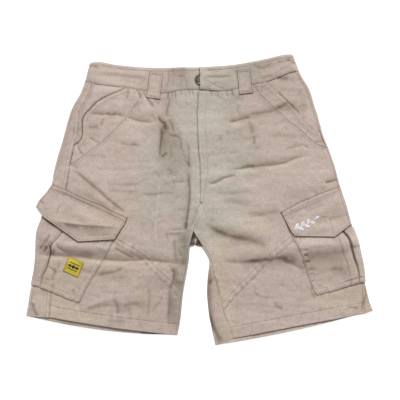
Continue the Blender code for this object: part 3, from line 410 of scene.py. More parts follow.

# painted shade with no crease of its own, and below nought painted light
lightAndShadeMarks = spots(
    (-0.75, 14, 2.2, (-205, 222), (-112, 214)),
    (-0.65, 14, 2.2, (-180, 188), (-140, 186)),
    (-0.75, 13.5, 2.2, (-101, 200), (-100, 166)),
    (-0.6, 8, 2, (-214, 206), (-222, 182)),
    (-0.5, 12, 2, (-152, 150), (-128, 136), (-108, 120)),
    (-0.4, 9, 2, (-236, 124), (-240, 90)),
    (-0.28, 28, 2.4, (-235, 62), (-190, 50), (-140, 48)),
    (-0.45, 11, 2, (-285, 2), (-205, -28)),
    (-0.4, 6, 2, (-255, -82), (-210, -84), (-160, -88)),
    (-0.45, 12, 2.4, (-300, -226), (-130, -246)),
    (0.35, 9, 1.8, (-212, 134), (-184, 140)),
    (0.4, 17, 2.2, (-40, 252), (-42, 212)),
    (0.6, 24, 3, (-62, 150), (-50, 92), (-50, 44)),
    (0.3, 6, 4, (-71, 146), (-71, 70)),
    (0.25, 8, 2, (-30, 120), (-22, 108), (-21, 60)),
    (0.16, 23, 2.5, (-70, 60), (-66, -20)),
    (0.4, 7, 1.8, (-26, 30), (-26, -10), (-30, -58)),
    (0.7, 5, 2, (-24, -42), (-26, -58)),
    (0.8, 12, 1.9, (-28, -62), (-34, -132)),
    (0.7, 9.5, 1.7, (-46, -124), (-46, -165)),
    (0.75, 11.5, 1.8, (-50, -176), (-48, -246)),
    (0.3, 11, 2, (-96, -98), (-130, -102)),
    (0.26, 27, 2, (-84, -138), (-92, -180), (-90, -232)),
    (0.35, 18, 1.8, (-146, -196), (-154, -216)),
    (0.45, 7, 2.2, (-292, -43), (-220, -53), (-150, -60)),
    (0.45, 12, 1.8, (-308, -86), (-282, -93)),
    (-0.5, 23, 2.2, (14, 186), (22, 132)),
    (-0.95, 9.5, 2, (6, 54), (58, 50)),
    (-0.5, 11, 2, (4, 6), (60, 20), (112, 30)),
    (-0.4, 14, 2, (10, -14), (40, -20)),
    (-0.7, 13, 2, (88, -44), (150, -62), (225, -74)),
    (-0.5, 9, 2, (12, -80), (28, -98), (44, -106)),
    (-0.3, 28, 2.4, (170, 104), (215, 78), (250, 44)),
    (-0.5, 7.5, 2, (176, 268), (204, 216), (216, 160)),
    (-0.35, 8, 2, (216, -158), (264, -162)),
    (-0.4, 11, 2, (52, -170), (56, -232)),
    (-0.5, 10, 2.4, (120, -250), (286, -218)),
    (0.5, 11.5, 2.2, (46, 246), (100, 250), (160, 268)),
    (0.6, 7, 2, (84, 156), (130, 166), (186, 182)),
    (0.4, 7, 1.6, (92, 146), (100, 138), (103, 104)),
    (0.4, 4.5, 1.6, (96, 62), (128, 65), (150, 69)),
    (0.3, 12, 1.8, (160, 8), (190, 16), (212, 10)),
    (0.4, 9, 1.8, (20, -50), (44, -61), (96, -75)),
    (0.8, 8.5, 2, (76, -116), (130, -115), (186, -118)),
    (0.65, 11, 2, (196, -112), (240, -112), (276, -120)),
    (1.3, 6.5, 1.7, (20, -122), (17, -182), (20, -222), (30, -262)),
    (0.6, 11, 1.6, (42, -258), (36, -272)),
    (-0.5, 14, 2, (-48, 142), (-16, 140), (12, 128)),
    (-0.4, 12, 2, (4, 140), (80, 134)),
    (-0.4, 12, 2, (-46, 186), (-20, 190), (20, 188)),
    (-0.5, 7, 2, (0, 84), (-1, 30), (0, -24)),
    (-0.4, 26, 2.4, (70, 22), (170, 46), (262, 46)),
    (-0.6, 12, 2, (24, -4), (54, -24), (94, -38), (128, -44)),
    (-0.6, 8, 2, (150, -84), (190, -80), (262, -66)),
    (-0.6, 7, 2, (4, -64), (20, -82), (34, -98), (76, -106)),
    (-0.6, 10, 2, (214, -168), (244, -174), (276, -170)),
    (-0.5, 10, 2, (190, -196), (250, -196), (300, -200)),
    (-0.6, 9, 2, (50, -216), (54, -232), (62, -246)),
    (-0.4, 6, 2, (292, -60), (302, -104), (308, -156)),
    (-0.6, 12, 2, (-316, -186), (-268, -204)),
    (-0.5, 6, 2, (-262, -80), (-236, -90), (-206, -90)),
    (-0.35, 8, 2, (-222, -168), (-190, -168), (-150, -164)),
    (-0.6, 8, 2, (-316, -18), (-296, -12)),
    (-0.35, 8, 2, (-256, -22), (-225, -26), (-190, -34)),
    (-0.5, 10, 2, (-250, 66), (-250, 50), (-246, 36)),
    (-0.5, 9, 2, (-216, 96), (-196, 98), (-172, 96)),
    (-0.4, 7, 2, (-238, 124), (-230, 92)),
    (-0.5, 8, 2, (-212, 208), (-206, 200), (-196, 192)),
    (-0.3, 8, 2, (150, 142), (190, 132)),
    (-0.5, 8, 2, (208, 166), (232, 148)),
    (0.3, 14, 2.4, (-58, 170), (-78, 64)),
    (0.3, 10, 2, (-50, 126), (-40, 96)),
    (0.4, 6, 2, (-22, 78), (-22, 52), (-24, 22)),
    (0.4, 10, 2, (-56, 252), (-40, 246), (-24, 244)),
    (0.4, 16, 2.2, (84, 236), (112, 216), (140, 208)),
    (0.5, 6, 2, (150, 230), (168, 230), (186, 232)),
    (0.5, 8, 2, (160, 186), (182, 178), (206, 172)),
    (0.4, 7, 2, (74, 156), (86, 150), (98, 146)),
    (0.5, 7, 2, (98, 112), (114, 96)),
    (0.4, 6, 2, (104, -24), (130, -28), (156, -26)),
    (0.4, 6, 2, (14, -50), (32, -60), (54, -70)),
    (0.5, 8, 2, (148, -106), (214, -120)),
    (0.5, 9, 2, (250, -134), (282, -140)),
    (0.4, 7, 2, (-20, -50), (-34, -180), (-40, -250)),
    (0.7, 8, 2, (-36, -150), (-42, -180)),
    (0.35, 10, 2, (-72, -112), (-70, -172)),
    (0.4, 10, 2, (-96, -200), (-144, -186)),
    (0.5, 7, 2, (-176, -232), (-144, -228)),
    (0.35, 7, 2, (-164, -98), (-140, -100), (-116, -104)),
    (0.4, 7, 2, (-190, -138), (-134, -144)),
    (0.3, 6, 2, (-272, -46), (-228, -53), (-190, -54), (-152, -58)),
    (0.4, 6, 2, (-292, -40), (-276, -42), (-260, -46)),
    (0.45, 5, 2, (-248, 22), (-206, 4), (-158, -24)),
    (0.35, 9, 2, (-316, -84), (-296, -92), (-270, -98)),
    (0.6, 5, 2, (-260, -100), (-226, -103), (-192, -104)),
    (0.4, 6, 2, (-314, -118), (-311, -130), (-310, -142)),
    (0.35, 5, 2, (-236, 186), (-268, 60)),
    (0.3, 10, 2.2, (-66, 226), (-62, 190), (-62, 156)),
    (0.35, 12, 2.2, (44, 226), (60, 206), (72, 184)),
    (0.35, 9, 2, (20, 116), (60, 118), (100, 114)),
    (0.3, 10, 2, (-66, 36), (-50, 24), (-40, 4)),
    (0.35, 10, 2, (-14, -52), (-28, -60), (-44, -84)),
    (0.35, 8, 2, (-262, -108), (-240, -114), (-200, -110)),
    (0.3, 7, 2, (-196, -142), (-160, -148), (-130, -146)),
    (0.35, 9, 2, (-176, -196), (-150, -204), (-124, -204)),
    (0.3, 8, 2, (-230, -200), (-204, -204), (-180, -202)),
    (0.4, 9, 2, (186, -126), (230, -132), (296, -132)),
    (0.25, 10, 2, (196, -176), (240, -188), (260, -190)),
    (0.25, 8, 2, (104, 246), (170, 226)),
    (-0.35, 14, 2, (-196, 236), (-140, 226)),
    (-0.4, 11, 2, (-156, 200), (-142, 188), (-134, 176)),
    (-0.4, 11, 2, (-112, 204), (-88, 188)),
    (-0.45, 11, 2, (-166, 148), (-126, 142)),
    (-0.3, 18, 2, (-206, 66), (-160, 46)),
    (-0.4, 7, 2, (-200, 14), (-162, -10)),
    (-0.3, 10, 2, (-120, 48), (-150, 76)),
    (-0.35, 9, 2, (196, 166), (218, 160), (234, 150)),
    (-0.35, 10, 2, (104, 0), (140, -2), (160, 6)),
    (-0.45, 12, 2, (224, 0), (252, 8), (272, 20)),
    (-0.5, 7, 2, (160, -84), (180, -84), (200, -90)),
    (-0.5, 8, 2, (30, -70), (36, -80), (34, -100)),
    (-0.4, 8, 2, (24, -40), (60, -44), (100, -52)),
    (-0.35, 9, 2, (60, -232), (120, -222)),
    (-0.4, 8, 2, (266, -206), (290, -200), (312, -192)),
    (-0.35, 8, 2, (-310, -206), (-290, -210), (-240, -214)),
    (-0.35, 8, 2, (-256, -68), (-280, -56)),
    (0.25, 8, 2, (-262, -50), (-225, -54), (-190, -54)),
    (0.5, 8, 2, (-78, 162), (-60, 128)),
    (0.45, 8, 2, (56, -72), (90, -81), (134, -90)),
    (0.35, 8, 2, (166, -102), (184, -114), (200, -128)),
    (0.35, 8, 2, (-180, -230), (-160, -232), (-134, -230)),
    (0.3, 9, 2, (-60, 264), (-28, 250), (-20, 200)),
    (0.3, 8, 2, (86, 62), (110, 60), (136, 54)),
    (-0.35, 8, 2, (176, 268), (206, 200)),
    (-0.35, 10, 2, (214, 184), (262, 50)),
    (-0.4, 10, 2, (262, 22), (284, -34), (302, -96)),
    (-0.3, 9, 2, (118, 142), (180, 136)),
    (-0.3, 10, 2, (120, 92), (150, 90), (180, 94)),
    (-0.3, 12, 2, (20, 66), (50, 56), (90, 56)),
    (-0.4, 9, 2, (-6, 20), (4, 4), (-4, -40)),
    (-0.3, 8, 2, (-76, 10), (-68, -10), (-66, -40)),
    (-0.35, 9, 2, (-160, -42), (-138, -44), (-124, -50)),
    (-0.4, 7, 2, (-264, -86), (-240, -92), (-216, -90)),
    (-0.3, 8, 2, (-290, -128), (-244, -136)),
    (-0.3, 7, 2, (-200, -126), (-170, -127), (-146, -126)),
    (-0.35, 8, 2, (-256, -210), (-240, -218), (-216, -224)),
    (-0.35, 9, 2, (200, -150), (214, -168), (228, -180)),
    (-0.35, 9, 2, (130, -190), (160, -200), (190, -190)),
    (-0.4, 9, 2, (-206, 216), (-180, 210), (-150, 208)),
    (-0.35, 8, 2, (-198, 184), (-170, 176)),
    (-0.35, 8, 2, (-136, 130), (-120, 126), (-104, 116)),
    (-0.35, 9, 2, (-250, 76), (-232, 78), (-214, 70)),
)

# where the cloth has a grey-green cast, and where it is yellowed
greenMarks = spots(
    (1, 26, 4, (-40, 250), (60, 252), (140, 262)),
    (0.9, 30, 4, (-34, 232), (-32, 120)),
    (1, 38, 4, (24, 260), (22, 60)),
    (0.8, 30, 4, (48, 240), (56, 150)),
    (1, 46, 4, (-56, 150), (-58, -40), (-40, -120)),
    (1, 40, 4, (-10, 170), (0, 0), (24, -100)),
    (0.9, 34, 4, (50, 140), (60, 40), (40, -10)),
    (1, 16, 3, (90, 140), (94, 86), (90, 50)),
    (0.8, 14, 3, (-104, 130), (-108, -70)),
    (0.8, 20, 3, (56, 30), (70, -10), (60, -60)),
    (1, 14, 3, (-24, -70), (-34, -120), (-46, -230)),
    (0.6, 10, 2, (200, -26), (220, -40), (250, -46)),
    (0.5, 8, 2, (-210, -99), (-130, -110)),
    (-0.9, 24, 3, (-40, -40), (-64, -58), (-80, -80)),
)
strawMarks = spots(
    (0.8, 30, 3, (-276, -90), (-272, -250)),
    (0.8, 18, 2, (-250, -110), (-180, -120), (-110, -120)),
    (0.7, 18, 2.4, (-240, -130), (-222, -150), (-210, -170)),
    (0.8, 14, 2, (-110, -160), (-110, -210)),
    (0.9, 16, 2, (-260, -214), (-180, -232)),
    (0.5, 22, 2, (-220, -10), (-120, -34)),
    (0.9, 20, 2.4, (40, -60), (44, -210)),
    (0.9, 18, 2, (46, -210), (56, -270)),
    (0.8, 14, 2, (96, -46), (134, -58)),
    (1, 20, 2.4, (312, -120), (326, -230)),
    (1, 22, 2.4, (220, -186), (330, -186)),
)


def foldField(x, y, folds, column=3, thin=1.0):
    # sums one column of a fold table: its heights, or the painted shade it holds
    z = np.zeros(x.shape)
    for row in folds:
        line, value = np.array(row[0]), row[column]
        reach = 3.6 * max(row[1], row[2])
        low, high = line.min(0) - reach, line.max(0) + reach
        here = (x > low[0]) & (x < high[0]) & (y > low[1]) & (y < high[1])
        if not here.any() or value == 0:
            continue
        away, side, share = nearLine(line, x[here], y[here])
        width = np.where(side > 0, row[1], row[2]) * thin
        ends = np.clip(6.5 * share * (1 - share), 0, 1) ** 0.8
        z[here] += value * np.exp(-(away / width) ** row[4]) * ends
    return z


def waistLift(x, y):
    return heap["waistLift"] * (1 - ease((atX(bandBottom, x) - y - heap["waistFrom"]) / heap["waistRun"]))


def frontHeight(x, y):
    rightEdge, leftEdge = atY(halves["right"]["edge"], y), atY(halves["left"]["edge"], y)
    away = np.minimum(x - rightEdge, leftEdge - x) + np.zeros(np.shape(x))
    for half in halves.values():
        edge = half["innerEdge"]
        near = (y < half["inner"][0][1] + 70) & (np.abs(x + 9) < 110)
        away[near] = np.minimum(away[near], nearLine(edge[::6], x[near], y[near])[0])
        outside = (y < half["inner"][0][1]) & ((x - atY(edge, y)) * half["side"] < 0)
        away = np.where(outside & (np.sign(x + 9) == half["side"]), 0, away)
    away = np.maximum(away, 0)
    z = heap["stack"] + waistLift(x, y) + heap["swell"] * (1 - np.exp(-away / heap["swellRun"]))
    rough = 0.52 * softNoise(x, y, 34, 3) + 0.46 * softNoise(x * 0.4, y, 13, 5) + 0.20 * softNoise(x, y, 6, 7)
    rough += 0.40 * softNoise(x * 0.2, y, 6.5, 8) * (0.6 + 0.6 * softNoise(x, y, 40, 9))
    relief = foldField(x, y, frontFolds) + rough
    z = z + relief * ease(away / 12)
    low = heap["lowest"]
    return low + np.logaddexp(0, (z - low) * 2.2) / 2.2


pieces = {}
cloths = {}


def placed(name, data):
    thing = bpy.data.objects.new(name, data)
    bpy.context.scene.collection.objects.link(thing)
    return thing


def meshOf(bm, name):
    mesh = bpy.data.meshes.new(name)
    bm.to_mesh(mesh)
    bm.free()
    return mesh


def ownPiece(name, mesh, slot, *nodes):
    piece = placed(name, mesh)
    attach(piece, "root")
    if nodes:
        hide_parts(*nodes)
    pieces[name] = piece
    return piece


def packed(t, pull=0.35):
    # spacing that is closer near both ends
    return t - pull * np.sin(2 * np.pi * t) / (2 * np.pi)


def shares(columns, rows):
    # the share across and the share down of every point of a grid, its top row first
    return np.meshgrid(np.linspace(0, 1, columns + 1), np.linspace(0, 1, rows + 1))


# the relief along an edge: a lap and how far it stands up, the groove beside it, its rows of stitches and how
# deep they bite, its puckers, how far in they hold before they fade, and the share of it all that shows
anyEdge = dict(lap=0, lift=0, groove=0.45, rows=[], bite=0.42, pucker=0, pitch=5.5, slant=0.5, hold=4,
               reach=6, share=1)
felled = dict(lap=13, lift=0.4, rows=[2.4, 10.6], pucker=0.8, pitch=6.2, slant=0.2, reach=3)
narrowFell = dict(lap=6.5, lift=0.2, groove=0.2, rows=[1.6, 5.4], pucker=0.25, slant=0.4, reach=5)
sideFell = dict(lap=9, lift=0.5, rows=[2, 7.6], pucker=0.28, reach=8)
mouthEdge = dict(lap=9, lift=0.6, rows=[2, 8], pucker=0.3)
plainSeam = dict(pucker=0.16, pitch=6.5, reach=8)
legSeam = dict(pucker=0.2, pitch=6, reach=10)
gathered = dict(rows=[1.6], pucker=0.5, pitch=7.5, slant=0, hold=5, reach=11)
turnedHem = dict(rows=[21.5], pucker=0.30, pitch=6.5, slant=0.35, hold=24, reach=5)


def edgeRelief(line, x, y, rule, seed):
    rule = anyEdge | rule
    away, _, share = nearLine(line[::4], x, y)
    z = rule["lift"] * (1 - ease((away - rule["lap"]) / 2.4))
    z -= rule["groove"] * bell(away / 0.9)
    for row in rule["rows"]:
        z -= rule["bite"] * bell((away - row) / 1.1)
    along = share * lineRun(line)[-1] + rule["slant"] * away
    ripple = softNoise(along, away * 0.35, rule["pitch"], seed)
    ripple += 0.6 * softNoise(along * 1.3, away * 0.2, rule["pitch"] * 2.3, seed + 1)
    fade = np.exp(-np.maximum(away - max(rule["lap"], rule["hold"]), 0) / rule["reach"])
    return (z + rule["pucker"] * ripple * fade) * rule["share"]


def coonsPlace(top, bottom, left, right, s, t):
    tx, ty = onLine(top, s)
    bx, by = onLine(bottom, s)
    lx, ly = onLine(left, t)
    rx, ry = onLine(right, t)
    x = lx * (1 - s) + rx * s + tx * (1 - t) + bx * t
    y = ly * (1 - s) + ry * s + ty * (1 - t) + by * t
    (x0, y0), (x1, y1), (x2, y2), (x3, y3) = top[0], top[-1], bottom[0], bottom[-1]
    x -= (x0 * (1 - s) + x1 * s) * (1 - t) + (x2 * (1 - s) + x3 * s) * t
    y -= (y0 * (1 - s) + y1 * s) * (1 - t) + (y2 * (1 - s) + y3 * s) * t
    return x, y


# edges that lie on other cloth: their layer, the line, how far their shade reaches and how deep it is; a
# sheet takes the shade of the layers above its own: the back is 0, the hip piece 1, the lower front 2, the
# upper front 2.2, the pocket band 2.4, the fly 2.8, the pocket and the waistband 3, what lies on those 4
contacts = []


def contactShade(x, y, layer):
    shade = np.zeros(x.shape)
    for above, line, reach, strength in contacts:
        low, high = line.min(0) - 3.5 * reach, line.max(0) + 3.5 * reach
        here = (x > low[0]) & (x < high[0]) & (y > low[1]) & (y < high[1])
        if above <= layer or not here.any():
            continue
        away = nearLine(line, x[here], y[here])[0]
        shade[here] = np.maximum(shade[here], strength * np.exp(-(away / reach) ** 1.5))
    return shade


def softened(field, times):
    # averages a grid of heights with its neighbours
    for _ in range(times):
        wide = np.pad(field, 1, mode="edge")
        field = (wide[:-2, 1:-1] + wide[2:, 1:-1] + wide[1:-1, :-2] + wide[1:-1, 2:] + 4 * field) / 8
    return field


def gridMesh(cloth, layer, folds=(), darken=0.0, rims=None):
    # an operator's grid, laid point by point from its top row down: x, y, z and the cloth's own u, v
    x, y, z, u, v = np.broadcast_arrays(*cloth)
    rows, columns = x.shape
    bm = bmesh.new()
    bm.loops.layers.uv.new("cloth")
    bmesh.ops.create_grid(bm, x_segments=columns - 1, y_segments=rows - 1, size=0.5)
    mesh = meshOf(bm, "grid")
    points, flat = [np.stack(group, -1)[::-1].reshape(-1, len(group)) * mm for group in ((x, y, z), (u, v))]
    mesh.vertices.foreach_set("co", points.ravel())
    # how far each point lies below its softened neighbours: the material paints shade into the hollows and a
    # painted highlight, with some wear, onto the ridges
    hollow = sum(depth * (softened(z, times) - z) for depth, times in ((1.3, 2), (0.7, 10), (0.3, 60)))
    # painted shade and light: the tables' shade column, the light and shade marks, and the shade under the
    # edges of higher layers
    paintedShadeAndLight = foldField(x, y, folds, 5, 0.85) + foldField(x, y, lightAndShadeMarks, 5) + contactShade(x, y, layer)
    paintedShadeAndLight = paintedShadeAndLight * (z > heap["paintedShadeFrom"]) + darken
    # a turned edge is itself in the dark
    borders = dict(start=np.s_[:, 0], end=np.s_[:, -1], top=np.s_[0], bottom=np.s_[-1])
    for key, depth in (rims or {}).items():
        paintedShadeAndLight[borders[key]] = np.maximum(paintedShadeAndLight[borders[key]], depth)
    green, straw = foldField(x, y, greenMarks, 5), foldField(x, y, strawMarks, 5)
    for key, field in dict(hollow=hollow, shade=paintedShadeAndLight, green=green, straw=straw).items():
        values = mesh.attributes.new(key, "FLOAT", "POINT")
        values.data.foreach_set("value", field[::-1].ravel().astype(np.float32))
    corner = np.empty(len(mesh.loops), int)
    mesh.loops.foreach_get("vertex_index", corner)
    mesh.uv_layers[0].uv.foreach_set("vector", flat[corner].ravel())
    return mesh


def sheetPiece(name, grids, nodes, restsOn, slot="canvas", wall=None, faceUp=True, hemmed=None):
    # joins grids into one cloth, gives it its wall and closes it; hemmed is a thicker wall and the hem's line
    wall = wall or heap["wall"]
    bm = bmesh.new()
    for mesh in grids:
        bm.from_mesh(mesh)
        bpy.data.meshes.remove(mesh)
    if len(grids) > 1:
        bmesh.ops.remove_doubles(bm, verts=bm.verts, dist=0.02 * mm)
        bmesh.ops.recalc_face_normals(bm, faces=bm.faces)
    bm.normal_update()
    highest = max(bm.faces, key=lambda face: face.calc_center_median().z)
    if (highest.normal.z > 0) != faceUp:
        bmesh.ops.reverse_faces(bm, faces=bm.faces)
    area = sum(face.calc_area() for face in bm.faces)
    mesh = meshOf(bm, name)
    thin = placed(name, mesh)
    solid = thin.modifiers.new("wall", "SOLIDIFY")
    solid.offset = -1
    solid.thickness = wall * mm
    if hemmed is not None:
        heavy, line = hemmed
        x, y, _ = np.array([v.co[:] for v in mesh.vertices]).T / mm
        weight = 1 - ease((nearLine(line, x, y)[0] - 21) / 3)
        group = thin.vertex_groups.new(name="heavy")
        for index in np.nonzero(weight > 0.01)[0]:
            group.add([int(index)], float(weight[index]), "REPLACE")
        solid.thickness = heavy * mm
        solid.vertex_group = "heavy"
        solid.thickness_vertex_group = wall / heavy
    view = bpy.context.evaluated_depsgraph_get()
    closed = bpy.data.meshes.new_from_object(thin.evaluated_get(view))
    bpy.data.objects.remove(thin)
    bpy.data.meshes.remove(mesh)
    closed.name = name
    closed.shade_smooth()
    closed.set_sharp_from_angle(angle=math.radians(48))
    ownPiece(name, closed, slot, *nodes)
    uv = np.empty(len(closed.loops) * 2)
    closed.uv_layers[0].uv.foreach_get("vector", uv)
    width, length = np.ptp(uv.reshape(-1, 2), axis=0)
    cloths[name] = [float(width), float(length), float(area), restsOn]


def surfaces(*names):
    view = bpy.context.evaluated_depsgraph_get()
    return [BVHTree.FromObject(pieces[name], view) for name in names]


def topOf(trees, x, y):
    # height of the cloth below each point, looking down on the laid garment
    z = np.full(x.size, -99.0)
    for k, (px, py) in enumerate(zip(x.ravel() * mm, y.ravel() * mm)):
        for tree in trees:
            hit = tree.ray_cast(Vector((px, py, 0.05)), Vector((0, 0, -1)))[0]
            if hit is not None:
                z[k] = max(z[k], hit.z / mm)
    return z.reshape(x.shape)


def turned(x, y, degrees):
    a = math.radians(degrees)
    return x * math.cos(a) + y * math.sin(a), -x * math.sin(a) + y * math.cos(a)


def inward(line, others, amount):
    # a border pulled in by half the seam's gap, towards the middle of the piece
    middle = np.mean(np.vstack(others), axis=0)
    along = np.gradient(line, axis=0)
    square = np.column_stack([-along[:, 1], along[:, 0]])
    square /= np.hypot(*square.T)[:, None]
    facing = np.sign(((middle - line) * square).sum(1).mean())
    return line + square * facing * amount


stitching = []
threads = {}


def sew(name, line, borders, distances, upward=True):
    # remembers rows of stitches that follow a border at these distances
    for distance in distances:
        row = inward(line, borders, distance)
        away = nearLine(line[::2], row[:, 0], row[:, 1])[0]
        stitching.append((name, row[away > distance - 0.15], upward))


def frontPanel(kind, node, name, below, borders, size, grain, layer, edges, sunk=None, rims=None,
               hemmed=None):
    # a panel between top, bottom, outer and inner borders; edges are lines with their relief and its seed
    s, t = [packed(share) for share in shares(*size)]
    x, y = coonsPlace(*[inward(line, borders, halfGap) for line in borders], s, t)
    z = frontHeight(x, y)
    for line, rule, seed in edges:
        z = z + edgeRelief(line, x, y, rule, seed)
    if sunk is not None:
        z = sunk(x, y, z)
    mesh = gridMesh((x, y, z, *turned(x, y, grain)), layer, frontFolds, rims=rims)
    sheetPiece(kind + name, [mesh], [node + name.lower()], [below + name], hemmed=hemmed)


def frontPieces(name, half):
    side, seam, inseam, corner = half["side"], half["seam"], half["inseam"], half["corner"]
    mouth, band, knee = half["mouthLine"], half["bandLine"], half["kneeLine"]
    hem = sagging([seam[-1], inseam[-1]], half["hemSag"], 160)

    # upper front
    top = cutByX(bandBottom, band[0][0], centreFront[0][0])
    outer = evenLine(np.vstack([band, cutByY(seam, band[-1][1] - 1, knee[0][1])]), 240)
    inner = evenLine(np.vstack([centreFront, cutByY(inseam, -88, knee[-1][1])]), 240)
    borders = [top, knee, outer, inner]
    sew("frontUpper" + name, knee, borders, felled["rows"])
    sew("frontUpper" + name, band, borders, narrowFell["rows"])
    edges = [(top, gathered, 21 + side), (band, narrowFell | dict(share=half["bandDepth"]), 31 + side),
             (seam[(seam[:, 1] < band[-1][1]) & (seam[:, 1] > knee[0][1])], plainSeam, 35 + side),
             (knee, felled, 41 + side), (inseam[inseam[:, 1] > knee[-1][1]], plainSeam, 45 + side),
             (centreFront, plainSeam | dict(rows=[1.8] if side > 0 else [], pucker=0.1), 51)]
    frontPanel("frontUpper", "front_upper_", name, "back", borders, (132, 196), 4 * side, 2.2, edges)

    # lower front
    outer = cutByY(seam, knee[0][1], seam[-1][1])
    inner = cutByY(inseam, knee[-1][1], inseam[-1][1])
    borders = [knee, hem, outer, inner]
    sew("frontLower" + name, hem, borders, turnedHem["rows"])
    edges = [(knee, plainSeam | dict(pucker=0.3), 61 + side), (hem, turnedHem, 65 + side),
             (outer, plainSeam, 71 + side), (inner, plainSeam, 75 + side)]
    frontPanel("frontLower", "front_lower_", name, "back", borders, (136, 116), 6 * side, 2.0, edges,
               rims=dict(bottom=1.3), hemmed=(2.0, hem[::4]))

    # pocket band
    top = cutByX(bandBottom, mouth[0][0], band[0][0])
    borders = [top, cutByY(seam, mouth[-1][1], band[-1][1]), mouth, band]
    sew("pocketBand" + name, mouth, borders, mouthEdge["rows"])
    edges = [(top, gathered, 81 + side), (mouth, mouthEdge, 85 + side), (band, plainSeam, 91 + side)]
    frontPanel("pocketBand", "pocket_band_", name, "hipPiece", borders, (38, 110), 35 * side, 2.4, edges,
               rims=dict(start=half["mouthShade"]))

    # hip piece, tucked under the band
    tuck = 11.0
    tucked = mouth - np.array([side * tuck, tuck * 0.35])
    startX = mouth[0][0] - side * tuck
    stopY = mouth[-1][1] - 5
    stopX = float(atY(seam, stopY))
    keep = (tucked[:, 1] < atX(bandBottom, tucked[:, 0]) - 0.5) & (tucked[:, 1] > stopY + 6)
    tucked = evenLine(np.vstack([(startX, atX(bandBottom, startX)), tucked[keep], (stopX - side * 7, stopY)]))
    top = cutByX(bandBottom, corner[0], startX)
    outer = cutByY(seam, float(atX(bandBottom, corner[0])), stopY)

    def sunk(x, y, z):
        away = nearLine(outer[::4], x, y)[0]
        mouthAway, mouthSide, _ = nearLine(mouth[::4], x, y)
        sink = 2.0 * ease(away / 8) * (1 - ease((mouthAway - 4) / 46) * 0.8)
        sink = np.where(np.sign(mouthSide) * side > 0, 2.1 * ease(away / 5), sink)
        sink = np.maximum(sink, 2.1 * ease((mouth[-1][1] + 9 - y) / 7))
        return np.maximum(z - sink, 3.3)

    borders = [top, evenLine([(stopX, stopY), tucked[-1]]), outer, tucked]
    frontPanel("hipPiece", "hip_piece_", name, "back", borders, (60, 80), 27 * side, 1.0,
               [(top, gathered | dict(pucker=0.3), 95 + side)], sunk)


